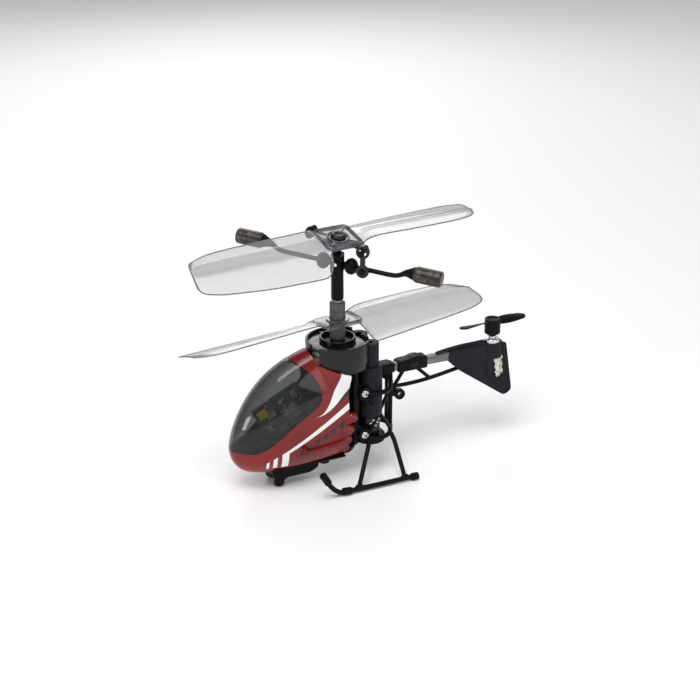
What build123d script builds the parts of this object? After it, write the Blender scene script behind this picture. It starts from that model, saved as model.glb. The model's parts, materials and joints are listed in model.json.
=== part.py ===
"""Palm-size coaxial toy helicopter, one STEP file for each separate piece.

X points to the nose, Y to the left side and Z up. The origin is on the ground
under the rotor shaft. All sizes are in millimetres and angles in degrees.
"""

from build123d import *
import math
import os

# ---- driving dimensions ----------------------------------------------------
NOSE_X = 23.3             # tip of the fuselage ahead of the rotor shaft
SHELL_WALL = 0.7          # moulded wall of the fuselage halves and canopy
BELLY_Z = 5.2             # where the red shell meets the black belly
BELLY_TOP = 4.5           # inner face of the belly's floor
SOCKET_Z = 2.2            # mouth of the charging socket
REAR_EDGE_X = 0.4         # rear edge of the fuselage shell

SHAFT_R = 0.5             # steel inner shaft
SLEEVE_R = 1.6            # outer shaft that carries the lower rotor
FIT = 0.04                # running clearance on the radius

HOUSING_R = 6.6           # gear housing
HOUSING_Z = (24.9, 29.7)
HOUSING_WALL = 0.5
RING_R = 3.7              # raised ring round the upper bush
RING_TOP = 30.2

GEAR_MODULE = 0.25
GEAR_TEETH = 44
PINION_TEETH = 9
GEAR_WIDTH = 1.1
UPPER_GEAR_Z = 27.2
LOWER_GEAR_Z = 25.4
BACKLASH = 0.06           # added to the centre distance

MOTOR_R = 2.5
MOTOR_GUARD_R = 1.75
GUARD_WALL = 0.2
MOTOR_Y = 2.66
MOTOR_Z = (8.2, 21.4)
GUARD_TOP = 28.3

LOWER_ROTOR_Z = 33.6
LOWER_ROTOR_TURN = 10.0   # rest angle of the blades from the X axis
UPPER_ROTOR_Z = 51.2
UPPER_ROTOR_TURN = 5.0
UPPER_ROTOR_TILT = 13.0   # rest tilt about the blade axis, left side down
BLADE_T = 0.36
SLEEVE_TOP = 37.7

TEETER_Z = 45.8           # flybar pivot
FLYBAR_TURN = -46.0
FLYBAR_TILT = 5.0         # rest tilt, far end up
FLYBAR_LENGTH = 21.8      # pivot to the end of a weight
FLYBAR_ARM_R = 0.5
WEIGHT_R = 1.6
WEIGHT_L = 5.6
WEIGHT_RAISE = 1.3
TEETER_PIN_R = 0.4
FEATHER_PIN_R = 0.35
FEATHER_Z = 49.7
LINK_REACH = 5.9          # pivot to link pin along the flybar
KNOB_REACH = 5.9
LINK_T = 0.9              # thickness of the link and its eyes
LINK_SIDE = 1.4           # middle of the link beside the flybar arm
LINK_EYE_R = 1.2
LINK_PIN_R = 0.42
KNOB_Z = UPPER_ROTOR_Z - 0.6

BOOM_Z = 21.05
BOOM_W = 1.7
BOOM_X = (-32.0, -9.4)
FIN_T = 1.9
TAIL_MOTOR_X = -36.3
TAIL_MOTOR_R = 1.6
TAIL_ROTOR_Z = 26.9
TAIL_ROTOR_R = 8.2
TAIL_ROTOR_TURN = 4.0
TAIL_SHAFT_R = 0.4

SKID_Y = 11.5
SKID_R = 0.55
LEG_R = 0.5
LUG_X, LUG_Z = -14.2, 14.4
LUG_BORE_R = 0.5
SCREW_R = 0.85
SCREW_Z = (9.1, 18.5)
BOSS_X = -3.9

LOW = (Align.CENTER, Align.CENTER, Align.MIN)
UP = Vector(0, 0, 1)


# ---- helpers ---------------------------------------------------------------
def post(x, y, z0, z1, r):
    """Upright round bar."""
    return Pos(x, y, z0) * Cylinder(r, z1 - z0, align=LOW)


def tube(x, y, z0, z1, r_out, r_in):
    """Upright round tube."""
    return post(x, y, z0, z1, r_out) - post(x, y, z0 - 1, z1 + 1, r_in)


def block(x0, x1, y0, y1, z0, z1):
    """Box between two corners."""
    corner = Pos(x0, y0, z0)
    return corner * Box(x1 - x0, y1 - y0, z1 - z0, align=(Align.MIN,) * 3)


def bar(a, b, r):
    """Straight round bar from point a to point b."""
    start, run = Vector(*a), Vector(*b) - Vector(*a)
    return Plane(origin=start, z_dir=run) * Cylinder(r, run.length, align=LOW)


def bar_chain(points, r):
    """Round bars from point to point with a ball at each joint."""
    solid = bar(points[0], points[1], r)
    for a, b in zip(points[1:-1], points[2:]):
        solid = solid + Pos(*a) * Sphere(r) + bar(a, b, r)
    return solid


def across(x, z, y0, y1, r):
    """Round bar along Y."""
    return bar((x, y0, z), (x, y1, z), r)


def turned(shape, angle, centre_z=0.0, tilt=0.0):
    """Tilts a shape about the X axis through (0, 0, centre_z), then turns it about Z."""
    about = Pos(0, 0, centre_z) * Rot(tilt, 0, 0) * Pos(0, 0, -centre_z)
    return Rot(0, 0, angle) * about * shape


def polar(angle, reach):
    """X and Y of a point at an angle and a distance from the shaft."""
    return reach * math.cos(math.radians(angle)), reach * math.sin(math.radians(angle))


def gear(x, y, z, teeth, bore_r, turn, tip=0.85, root=1.2, share=0.40):
    """Spur gear with straight-sided teeth; turn sets the angle of one tooth."""
    pitch_r = GEAR_MODULE * teeth / 2
    tip_r, root_r = pitch_r + tip * GEAR_MODULE, pitch_r - root * GEAR_MODULE
    step = 360 / teeth
    half = step * share / 2
    points = []
    for i in range(teeth):
        middle = turn + i * step
        points.append(polar(middle - half * 1.45, root_r))
        points.append(polar(middle - half * 0.55, tip_r))
        points.append(polar(middle + half * 0.55, tip_r))
        points.append(polar(middle + half * 1.45, root_r))
    face = make_face(Polyline(*points, close=True))
    return Pos(x, y, z) * extrude(face, GEAR_WIDTH) - post(x, y, z - 1, z + 3, bore_r)


# ---- fuselage --------------------------------------------------------------
# station: x, top z, bottom z, half width
HULL = [
    (-0.6, 29.3, 4.3, 5.35),
    (4.0, 28.7, 3.9, 5.75),
    (8.0, 27.6, 3.7, 5.85),
    (12.0, 25.9, 3.6, 5.7),
    (15.5, 23.6, 3.7, 5.2),
    (18.5, 20.6, 4.1, 4.4),
    (20.8, 17.3, 4.7, 3.35),
    (22.4, 14.2, 5.9, 2.1),
    (NOSE_X, 11.2, 7.6, 0.9),
]


def hull_section(x, top, bottom, half, inset):
    """Egg-shaped upright section, widest a little below its middle."""
    height, middle = (top - bottom) / 2 - inset, (top + bottom) / 2
    width = max(half - inset, 0.25)
    points = []
    for i in range(12):
        angle = math.radians(30 * i)
        rise = math.sin(angle)
        wide = math.copysign(abs(math.cos(angle)) ** 0.85, math.cos(angle))
        lean = 1 - 0.16 * rise
        points.append((x, width * wide * lean, middle + height * rise))
    return make_face(Spline(*points, periodic=True))


def hull(inset):
    """Solid body of the fuselage, drawn in by the inset."""
    last = len(HULL) - 1
    faces = []
    for i, (x, top, bottom, half) in enumerate(HULL):
        shift = -inset if i == last else 0.0
        faces.append(hull_section(x + shift, top, bottom, half, inset))
    return loft(faces)


def canopy_region(grow=0.0):
    """Side view of the windscreen, carried through the whole width."""
    with BuildSketch(Plane.XZ) as side:
        with BuildLine():
            edge = Spline(
                (11.6 - grow, 27.6), (8.6 - grow, 25.0), (6.5 - grow, 22.4),
                (6.3 - grow, 19.8), (8.6, 17.0 - grow), (13.0, 13.8 - grow),
                (17.2, 11.2 - grow), (20.4, 10.2 - grow), (26.0, 10.3 - grow),
            )
            Polyline(edge @ 1, (30.0, 32.0), (11.6 - grow, 32.0), edge @ 0)
        make_face()
    return extrude(side.sketch, 12, both=True)


def make_fuselage():
    outer, inner = hull(0.0), hull(SHELL_WALL)
    wall = outer - inner
    region = canopy_region()
    housing_room = post(0, 0, HOUSING_Z[0] - 0.75, 40, HOUSING_R + 0.1)
    rear = block(-10, REAR_EDGE_X, -9, 9, -5, 40)
    below = block(-10, 30, -9, 9, -5, BELLY_Z)
    red = wall - region - housing_room - rear - below
    glass = (wall & region) - housing_room
    left = red & block(-10, 30, 0, 9, -5, 40)
    right = red & block(-10, 30, -9, 0, -5, 40)
    belly = (outer - inner) & block(-0.5, 17.5, -9, 9, -5, BELLY_Z)
    floor = outer & block(-0.5, 17.5, -9, 9, 0, 4.6)
    floor = floor + block(3.4, 14.6, -1.5, 1.5, 4.5, 6.2)
    # Rounded stern of the belly below the motors.
    stern = Pos(-0.5, 0, 6.8) * scale(Sphere(1), by=(3.0, 4.4, 2.9))
    stern = stern & block(-6, -0.5, -9, 9, 0, 6.9)
    belly = belly + floor + stern
    return left, right, glass, belly


def make_inside():
    """Battery, circuit board and the parts on it."""
    battery = fillet(block(2.8, 15.2, -2.7, 2.7, 6.2, 9.5).edges(), 0.6)
    plane = Pos(12.6, 0.6, 15.9) * Rot(0, 28, 0)
    board = plane * Box(11.0, 0.7, 8.6)
    chips = [
        plane * Pos(-1.6, 0.85, -0.6) * Box(2.9, 1.0, 2.9),
        plane * Pos(2.4, 0.75, 1.6) * Box(2.0, 0.8, 1.3),
        plane * Pos(-3.6, 0.7, 2.5) * Box(1.2, 0.7, 1.8),
        plane * Pos(1.3, 0.65, -2.9) * Box(1.8, 0.6, 0.9),
        plane * Pos(-0.6, 0.65, 2.6) * Box(0.9, 0.6, 0.9),
        plane * Pos(3.9, 0.65, -1.2) * Box(0.8, 0.6, 1.6),
    ]
    capacitor = plane * Pos(3.9, 1.42, 3.1) * Rot(0, 90, 0) * Cylinder(0.95, 2.0)
    eye = plane * Pos(-4.3, 0.95, -2.9) * Box(1.6, 1.2, 1.6)
    eye = eye + plane * Pos(-4.3, 1.55, -2.9) * Sphere(0.7)
    standoff = block(8.6, 14.4, -0.2, 0.25, 9.5, 12.4)
    standoff = standoff - board
    return battery, board, Compound(chips), capacitor, eye, standoff


def make_belly_fittings():
    """Front foot, charging socket and slide switch under the belly."""
    foot = block(13.4, 15.4, -3.3, 3.3, 1.4, 3.9)
    bumps = [Pos(14.4, s * 2.4, 0.9) * scale(Sphere(1), by=(1.0, 0.8, 0.9)) for s in (-1, 1)]
    for bump in bumps:
        foot = foot + bump
    foot = foot + block(7.4, 13.6, -2.2, 2.2, 1.9, 3.9)
    slot = block(8.6, 11.8, -0.75, 0.75, 1.0, 3.0)
    foot = foot - slot
    slider = block(9.5, 10.7, -0.65, 0.65, 2.0, 2.95) + block(9.8, 10.4, -0.5, 0.5, 1.5, 2.1)
    socket = tube(3.2, 0, SOCKET_Z, BELLY_TOP, 1.2, 0.6)
    return foot, slider, socket


# ---- drive -----------------------------------------------------------------
def motor_x():
    reach = GEAR_MODULE * (GEAR_TEETH + PINION_TEETH) / 2 + BACKLASH
    return -math.sqrt(reach**2 - MOTOR_Y**2)


def make_gear_housing():
    z0, z1 = HOUSING_Z
    cup = tube(0, 0, z0, z1, HOUSING_R, HOUSING_R - HOUSING_WALL)
    deck = tube(0, 0, z1 - 1.2, z1 - 0.5, HOUSING_R - HOUSING_WALL / 2, RING_R - 0.25)
    ring = tube(0, 0, z1 - 1.2, RING_TOP, RING_R, RING_R - 0.5)
    floor = tube(0, 0, z0 - 0.7, z0, HOUSING_R, 2.2)
    body = cup + deck + ring + floor
    x = motor_x()
    for side in (-1, 1):
        body = body - post(x, side * MOTOR_Y, z0 - 2, z1 + 2, MOTOR_GUARD_R + 0.02)
    window = Rot(0, 0, 20) * block(5.0, 8.0, -1.7, 1.7, z0 + 0.5, z1 + 0.1)
    return body - window


def make_bushes():
    upper = tube(0, 0, 28.65, 29.35, RING_R - 0.5, SLEEVE_R - 0.2 + FIT)
    lower = tube(0, 0, HOUSING_Z[0] - 0.7, HOUSING_Z[0] + 0.2, 2.2, SHAFT_R + FIT)
    return upper, lower


def make_motor(side):
    """Can with its narrow drive guard, which is open towards the gear."""
    x, y = motor_x(), side * MOTOR_Y
    can = post(x, y, MOTOR_Z[0], MOTOR_Z[1], MOTOR_R - 0.45)
    shaft = post(x, y, MOTOR_Z[1], 28.2, 0.4)
    sleeve = tube(x, y, MOTOR_Z[0] + 4.6, MOTOR_Z[1] + 0.4, MOTOR_R, MOTOR_R - 0.45)
    guard = tube(x, y, MOTOR_Z[1], GUARD_TOP, MOTOR_GUARD_R, MOTOR_GUARD_R - GUARD_WALL)
    gear_room = post(0, 0, HOUSING_Z[0] - 0.1, 40, HOUSING_R - HOUSING_WALL)
    guard = guard - gear_room
    cap = post(x, y, GUARD_TOP, GUARD_TOP + 0.35, MOTOR_GUARD_R)
    cap = cap - post(x, y, GUARD_TOP - 1, GUARD_TOP + 1, 0.5) - gear_room
    return can + shaft, sleeve + guard + cap


def gear_turns(side):
    """Angles that put a gap of the gear on the line to the motor, and a pinion tooth in it."""
    line = math.degrees(math.atan2(side * MOTOR_Y, motor_x()))
    return line + 180 / GEAR_TEETH, line + 180


def make_drive():
    x = motor_x()
    upper_turn, left_turn = gear_turns(1)
    lower_turn, right_turn = gear_turns(-1)
    upper = gear(0, 0, UPPER_GEAR_Z, GEAR_TEETH, SLEEVE_R - 0.2, upper_turn)
    lower = gear(0, 0, LOWER_GEAR_Z, GEAR_TEETH, SHAFT_R, lower_turn)
    left = gear(x, MOTOR_Y, UPPER_GEAR_Z, PINION_TEETH, 0.4 + FIT / 2, left_turn)
    right = gear(x, -MOTOR_Y, LOWER_GEAR_Z, PINION_TEETH, 0.4 + FIT / 2, right_turn)
    return upper, lower, left, right


def make_shafts():
    outer = tube(0, 0, UPPER_GEAR_Z - 0.2, SLEEVE_TOP - 0.9, SLEEVE_R - 0.2, SHAFT_R + FIT)
    collar = tube(0, 0, 29.9, LOWER_ROTOR_Z - 0.35, SLEEVE_R, SLEEVE_R - 0.2)
    nut = tube(0, 0, LOWER_ROTOR_Z + 0.35, SLEEVE_TOP, SLEEVE_R, SLEEVE_R - 0.2)
    nut = nut + tube(0, 0, SLEEVE_TOP - 0.9, SLEEVE_TOP, SLEEVE_R, SHAFT_R + 2 * FIT)
    inner = post(0, 0, HOUSING_Z[0] - 1.6, 41.5, SHAFT_R)
    return outer, collar, nut, inner


# ---- rotors ----------------------------------------------------------------
# station: span of the leading point, its offset, span of the trailing point,
# its offset, pitch
LOWER_BLADE = [
    (1.2, 2.3, 1.2, 2.6, 0.0),
    (3.2, 2.3, 3.0, 2.6, 0.0),
    (6.0, 2.5, 5.6, 5.4, 15.0),
    (9.4, 2.9, 9.8, 7.3, 24.0),
    (16.0, 3.0, 16.8, 7.2, 22.0),
    (24.0, 2.9, 25.0, 6.9, 19.0),
    (30.5, 2.3, 31.6, 6.5, 17.0),
    (33.2, 0.6, 34.1, 5.9, 16.5),
]
UPPER_BLADE = [
    (1.2, 3.5, 1.2, 3.5, 0.0),
    (3.4, 3.5, 3.4, 3.5, 0.0),
    (6.0, 3.2, 5.4, 6.0, 13.0),
    (9.0, 3.0, 8.6, 8.6, 21.0),
    (15.6, 2.8, 16.4, 8.8, 19.0),
    (23.2, 2.5, 24.6, 8.4, 17.0),
    (29.0, 2.0, 30.4, 7.9, 15.5),
    (32.0, 0.9, 33.0, 7.2, 15.0),
]


def blade_section(lead_r, lead, trail_r, trail, pitch, camber, sense, end):
    """Thin cambered section in an upright plane; end is +1 or -1 for the two blades."""
    rise, run = math.sin(math.radians(pitch)), math.cos(math.radians(pitch))
    front = Vector(end * lead_r, end * sense * lead * run, lead * rise)
    back = Vector(end * trail_r, -end * sense * trail * run, -trail * rise)
    if front.Y < back.Y:
        front, back = back, front
    middle = (front + back) * 0.5 + UP * camber
    drop = UP * BLADE_T
    outline = [
        ThreePointArc(back, middle, front),
        Line(front, front - drop),
        ThreePointArc(front - drop, middle - drop, back - drop),
        Line(back - drop, back),
    ]
    return make_face(outline)


def rotor_blades(stations, sense):
    """Both blades and the plate between them, in one moulding."""
    faces = []
    for row in reversed(stations):
        faces.append(blade_section(*row, camber_of(row), sense, -1))
    for row in stations:
        faces.append(blade_section(*row, camber_of(row), sense, 1))
    return Pos(0, 0, BLADE_T / 2) * loft(faces)


def camber_of(row):
    chord = row[1] + row[3]
    return 0.02 if row[4] == 0.0 else 0.085 * chord


def make_lower_rotor():
    blades = Pos(0, 0, LOWER_ROTOR_Z) * rotor_blades(LOWER_BLADE, 1)
    boss = post(0, 0, LOWER_ROTOR_Z - 0.35, LOWER_ROTOR_Z + 0.35, 2.1)
    blades = blades + boss - post(0, 0, 30, 40, SLEEVE_R - 0.2)
    return turned(blades, LOWER_ROTOR_TURN)


def make_rotor_head():
    """Tube with a fork for the flybar, and above it an eye for the feather pin."""
    z = TEETER_Z
    tube_part = post(0, 0, 38.1, z - 1.5, 1.25) - post(0, 0, 37, 41.5, SHAFT_R)
    fork = block(-1.15, 1.15, -1.25, 1.25, z - 1.7, z + 2.2)
    fork = fork & post(0, 0, 38, 52, 1.45)
    fork = fork - block(-2, 2, -0.8, 0.8, z - 1.35, z + 1.45)
    fork = fork - across(0, z, -3, 3, TEETER_PIN_R)
    fork = Rot(0, 0, FLYBAR_TURN) * fork
    eye = post(0, 0, z + 2.1, FEATHER_Z, 0.75)
    eye = eye & block(-0.8, 0.8, -0.75, 0.75, z, 60)
    eye = eye + bar((-0.8, 0, FEATHER_Z), (0.8, 0, FEATHER_Z), 0.75)
    eye = eye - bar((-3, 0, FEATHER_Z), (3, 0, FEATHER_Z), FEATHER_PIN_R)
    eye = Rot(0, 0, UPPER_ROTOR_TURN) * eye
    return tube_part + fork + eye


def make_pins():
    teeter = Rot(0, 0, FLYBAR_TURN) * across(0, TEETER_Z, -1.45, 1.45, TEETER_PIN_R)
    feather = bar((-1.7, 0, FEATHER_Z), (1.7, 0, FEATHER_Z), FEATHER_PIN_R)
    return teeter, Rot(0, 0, UPPER_ROTOR_TURN) * feather


def flybar_place(shape):
    """Tilts a level flybar piece about its pivot and turns it to its rest angle."""
    about = Pos(0, 0, TEETER_Z) * Rot(0, -FLYBAR_TILT, 0) * Pos(0, 0, -TEETER_Z)
    return Rot(0, 0, FLYBAR_TURN) * about * shape


def make_flybar():
    z, inner_end = TEETER_Z, FLYBAR_LENGTH - WEIGHT_L
    bar_solid = across(0, z, -0.65, 0.65, 1.1)
    weights = []
    for s in (-1, 1):
        lump = Pos(s * 3.0, 0, z) * scale(Sphere(1), by=(1.35, 1.45, 1.75))
        neck = bar((s * 0.5, 0, z), (s * 2.4, 0, z), 0.6)
        arm = bar_chain(
            [(s * 3.0, 0, z), (s * 12.5, 0, z), (s * (inner_end - 1.6), 0, z + WEIGHT_RAISE)],
            FLYBAR_ARM_R,
        )
        cone = Plane(origin=(s * inner_end, 0, z + WEIGHT_RAISE), z_dir=(-s, 0, 0))
        cone = cone * Cone(1.35, FLYBAR_ARM_R, 2.6, align=LOW)
        bar_solid = bar_solid + lump + neck + arm + cone
        weights.append(bar((s * inner_end, 0, z + WEIGHT_RAISE),
                           (s * FLYBAR_LENGTH, 0, z + WEIGHT_RAISE), WEIGHT_R))
    pin = across(-LINK_REACH, z, 0.3, 2.1, LINK_PIN_R)
    bar_solid = bar_solid + pin - across(0, z, -3, 3, TEETER_PIN_R + FIT)
    return flybar_place(bar_solid), flybar_place(Compound(weights))


def make_upper_rotor():
    """Yoke with two knobs, clear blades and cap."""
    z = UPPER_ROTOR_Z
    yoke = fillet(block(-2.6, 2.6, -2.4, 2.4, z - 0.75, z - 0.2).edges().filter_by(Axis.Z), 0.8)
    for s in (-1, 1):
        lug = block(s * 1.3 - 0.35, s * 1.3 + 0.35, -0.8, 0.8, FEATHER_Z, z - 0.4)
        lug = lug + bar((s * 0.95, 0, FEATHER_Z), (s * 1.65, 0, FEATHER_Z), 0.8)
        yoke = yoke + lug
    yoke = yoke - bar((-3, 0, FEATHER_Z), (3, 0, FEATHER_Z), FEATHER_PIN_R + FIT)
    yoke = yoke + post(0, 0, z - 0.3, z + 0.35, 1.0)
    for end in (0, 180):
        arm = block(1.6, KNOB_REACH - 0.4, -0.55, 0.55, z - 0.95, z - 0.25)
        arm = arm + Pos(KNOB_REACH, 0, KNOB_Z) * Sphere(0.75)
        arm = arm + across(KNOB_REACH, KNOB_Z, 0, -LINK_SIDE - 0.75, LINK_PIN_R)
        yoke = yoke + Rot(0, 0, FLYBAR_TURN + 180 - UPPER_ROTOR_TURN + end) * arm
    blades = Pos(0, 0, z) * rotor_blades(UPPER_BLADE, -1)
    frame = block(-3.6, 3.6, -3.6, 3.6, z - BLADE_T / 2, z + BLADE_T / 2)
    blades = blades + frame - post(0, 0, z - 2, z + 2, 1.0)
    yoke = yoke - blades
    cap = post(0, 0, z + 0.35, z + 0.75, 1.5) + Pos(0, 0, z + 0.7) * scale(Sphere(1), by=(1.5, 1.5, 0.75))
    cap = cap & block(-3, 3, -3, 3, z + 0.35, z + 3)
    return [upper_place(s) for s in (yoke, blades, cap)]


def upper_place(shape):
    """Tilts a level piece of the upper rotor about the feather pin and turns it."""
    return turned(shape, UPPER_ROTOR_TURN, FEATHER_Z, -UPPER_ROTOR_TILT)


def link_ends():
    """Middle of the link's two eyes, on the flybar pin and on the front knob."""
    low = flybar_place(Pos(-LINK_REACH, LINK_SIDE, TEETER_Z) * Sphere(0.1)).center()
    knob = Rot(0, 0, FLYBAR_TURN + 180 - UPPER_ROTOR_TURN) * Pos(KNOB_REACH, -LINK_SIDE, KNOB_Z) * Sphere(0.1)
    return low, upper_place(knob).center()


def make_link():
    """Dog-bone link: a snug eye on the flybar pin and a loose one on the knob."""
    low, high = link_ends()
    side = Vector(*polar(FLYBAR_TURN + 90, 1.0), 0)
    high = high - side * (high - low).dot(side)
    along = (high - low).normalized()
    place = Plane(origin=low, x_dir=along, z_dir=side)
    length = (high - low).length
    shape = Cylinder(LINK_EYE_R, LINK_T) + Pos(length, 0, 0) * Cylinder(LINK_EYE_R + 0.05, LINK_T)
    shape = shape + Pos(length / 2, 0, 0) * Box(length, 1.1, LINK_T)
    shape = shape - Cylinder(LINK_PIN_R + FIT, 3) - Pos(length, 0, 0) * Cylinder(LINK_PIN_R + 0.4, 3)
    return place * shape


# ---- frame -----------------------------------------------------------------
def make_frame(side):
    """Half of the cage: front wall, bosses, ring bars, cross braces and rear post."""
    def y(v):
        return side * v

    wall = block(-2.7, -1.5, min(0, y(4.6)), max(0, y(4.6)), 8.0, HOUSING_Z[0] - 0.7)
    wall = wall + block(-2.7, REAR_EDGE_X + 0.9, min(y(2.4), y(3.4)), max(y(2.4), y(3.4)), 10.0, 20.0)
    for z in SCREW_Z:
        wall = wall + block(BOSS_X, -2.2, min(y(3.0), y(4.5)), max(y(3.0), y(4.5)), z - 1.1, z + 1.1)
        wall = wall + across(BOSS_X, z, y(3.0), y(5.3), 1.45)
    top, low = 18.3, 8.0
    upper_ring = [(BOSS_X, y(4.9), top), (-6.4, y(5.75), top), (-9.6, y(4.8), top), (-11.7, y(1.0), top)]
    lower_ring = [(BOSS_X, y(4.9), 8.7), (-6.6, y(5.75), low), (-9.8, y(4.6), low), (-11.7, y(1.0), low)]
    cage = bar_chain(upper_ring, 0.5) + bar_chain(lower_ring, 0.5)
    cage = cage + bar((-4.6, y(5.35), 17.6), (-10.9, y(2.7), 8.2), 0.38)
    cage = cage + bar((-4.6, y(5.35), 9.4), (-10.9, y(2.7), 18.0), 0.38)
    cage = cage + block(-12.1, -11.3, min(y(0.0), y(1.3)), max(y(0.0), y(1.3)), 7.5, 19.9)
    body = (wall + cage) & block(-20, 5, min(0, y(9)), max(0, y(9)), 0, 40)
    for s in (-1, 1):
        body = body - post(motor_x(), s * MOTOR_Y, 8.0, 22.0, MOTOR_R)
    if side > 0:
        lug = across(LUG_X, LUG_Z, -0.6, 0.6, 1.15) + block(LUG_X, -11.9, -0.6, 0.6, LUG_Z - 0.1, LUG_Z + 1.0)
        lug = lug + bar((-11.9, 0, 16.9), (LUG_X + 0.3, 0, LUG_Z + 0.7), 0.45)
        lug = lug - block(-12.2, -11.0, -3, 0, 7, 20)
        body = body + (lug - across(LUG_X, LUG_Z, -3, 3, LUG_BORE_R))
    for z in SCREW_Z:
        body = body - across(BOSS_X, z, y(4.4), y(6), 0.45) - across(BOSS_X, z, y(5.0), y(6), SCREW_R)
    return body - make_motor_seat()


def make_screws():
    """Cross-head screws that close the frame, two on each side."""
    screws = []
    for side in (-1, 1):
        for z in SCREW_Z:
            head = across(BOSS_X, z, side * 5.0, side * 5.45, SCREW_R)
            head = head + across(BOSS_X, z, side * 4.4, side * 5.1, 0.45)
            slot = block(BOSS_X - 0.55, BOSS_X + 0.55, -9, 9, z - 0.12, z + 0.12)
            slot = slot + block(BOSS_X - 0.12, BOSS_X + 0.12, -9, 9, z - 0.55, z + 0.55)
            ends = min(side * 5.2, side * 6), max(side * 5.2, side * 6)
            slot = slot & block(-9, 9, ends[0], ends[1], 0, 40)
            screws.append(head - slot)
    return Compound(screws)


def make_motor_seat():
    """Plate and cup that hold the two motors from below."""
    x = motor_x()
    seat = block(-10.2, -1.5, -4.9, 4.9, 6.9, MOTOR_Z[0])
    seat = seat & (post(x, MOTOR_Y, 0, 40, 3.2) + post(x, -MOTOR_Y, 0, 40, 3.2) + block(x, 0, -5, 5, 0, 40))
    return seat


# ---- tail ------------------------------------------------------------------
def make_tail():
    x0, x1 = BOOM_X
    w = BOOM_W / 2
    boom = block(x0, x1, -w, w, BOOM_Z - w, BOOM_Z + w) - block(x0 - 1, x1 + 1, -0.5, 0.5, BOOM_Z - 0.5, BOOM_Z + 0.5)
    hole = block(-60, 0, -w, w, BOOM_Z - w, BOOM_Z + w)
    socket = block(-12.1, -8.95, -1.45, 1.45, 19.9, 22.3) - hole
    clamp = fillet(block(-20.2, -13.3, -1.35, 1.35, 19.75, 22.45).edges().filter_by(Axis.Y), 0.4)
    clamp = clamp - hole - block(-18.0, -16.0, -3, 3, BOOM_Z - 0.55, BOOM_Z + 0.55)
    strut = bar((-15.3, 0, 19.9), (-13.2, 0, 17.0), 0.4) + bar((-18.0, 0, 19.9), (-21.1, 0, 17.0), 0.4)
    chord = bar_chain([(-12.55, 0, 16.6), (-14.6, 0, 16.35), (-21.9, 0, 16.75), (-28.4, 0, 17.75)], 0.42)
    brace = clamp + strut + chord - make_frame(1)
    return boom, socket, brace, hole


def make_fin(hole, brace):
    with BuildSketch(Plane.XZ) as side:
        with BuildLine():
            Polyline((-25.6, 22.1), (-25.7, 20.2), (-28.0, 17.8), (-39.2, 9.8), (-40.9, 10.6),
                     (-39.1, 22.1), close=True)
        make_face()
        fillet(side.vertices().filter_by(lambda v: v.Z < 12), 0.7)
    fin = extrude(side.sketch, FIN_T / 2, both=True)
    fin = fin + post(TAIL_MOTOR_X, 0, 14.6, 22.3, TAIL_MOTOR_R + 0.45)
    fin = fin - post(TAIL_MOTOR_X, 0, 15.4, 40, TAIL_MOTOR_R)
    boom_room = hole & block(BOOM_X[0], 0, -9, 9, 0, 40)
    return fin - boom_room - brace


def make_tail_motor():
    motor = post(TAIL_MOTOR_X, 0, 15.4, 23.3, TAIL_MOTOR_R)
    motor = motor + post(TAIL_MOTOR_X, 0, 23.3, 23.8, 0.8)
    return motor + post(TAIL_MOTOR_X, 0, 23.8, 26.4, TAIL_SHAFT_R)


def make_tail_rotor():
    hub = post(0, 0, 24.4, 27.7, 1.7)
    rows = [(-TAIL_ROTOR_R, 0.5, -8), (-6.6, 1.25, -12), (-3.6, 1.3, -22), (-1.2, 0.8, -38)]
    solids = []
    for end in (0, 180):
        faces = []
        for r, half, pitch in rows:
            lean = math.radians(pitch)
            tip = Vector(-r, half * math.cos(lean), half * math.sin(lean))
            tail = Vector(-r, -tip.Y, -tip.Z)
            up = UP * 0.17
            faces.append(make_face(Polyline(tip + up, tail + up, tail - up, tip - up, close=True)))
        solids.append(Rot(0, 0, end) * Pos(0, 0, TAIL_ROTOR_Z) * loft(faces))
    rotor = hub + solids[0] + solids[1] - post(0, 0, 24, 26.45, TAIL_SHAFT_R + FIT)
    return Pos(TAIL_MOTOR_X, 0, 0) * Rot(0, 0, TAIL_ROTOR_TURN) * rotor


def make_tail_wires():
    """Two thin leads clipped along the boom and into the fin."""
    leads = []
    for y in (-0.27, 0.27):
        path = FilletPolyline((-23.2, y, 22.15), (-25.8, y, 22.32), (-29.0, y, 22.45),
                              (-33.9, y, 22.45), radius=6.0)
        leads.append(path)
    solids = []
    for path in leads:
        ring = Plane(origin=path @ 0, z_dir=path % 0) * Circle(0.2)
        solids.append(sweep(ring, path))
    return Compound(solids)


# ---- landing gear ----------------------------------------------------------
def make_skid(side):
    """Runner with an upswept front, two legs and their root pegs."""
    y = side * SKID_Y
    z = SKID_R + 0.25
    runner = bar((-12.2, y, z), (3.6, y, z), SKID_R)
    toe = bar_chain([(3.4, y, z), (5.2, y, z + 0.5), (6.7, y, z + 1.8), (8.3, y, z + 4.4)], SKID_R)
    front = bar_chain([(-5.0, side * 4.9, 7.6), (-3.9, side * 6.2, 6.4), (0.6, y, z)], LEG_R)
    rear = bar_chain([(-10.4, side * 4.0, 7.6), (-10.5, side * 5.2, 6.8), (-10.0, y, z)], LEG_R)
    skid = runner + toe + front + rear
    ring_room = make_frame(side) + make_motor_seat()
    return skid - ring_room


def make_skid_sleeves(skids):
    """Soft sleeves pushed on the runners: front joint, front tip and rear end."""
    sleeves = []
    for side in (-1, 1):
        y, z = side * SKID_Y, SKID_R + 0.25
        sleeves.append(bar((2.2, y, z), (4.2, y, z), 0.8))
        sleeves.append(bar((-13.0, y, z), (-11.4, y, z), 0.8))
        sleeves.append(bar((7.2, y, z + 2.6), (8.7, y, z + 5.05), 0.8))
    sleeves = [s - skids[0] - skids[1] for s in sleeves]
    return Compound(sleeves)


def save(name, shape):
    export_step(shape, f"parts/{name}.step")


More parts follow.
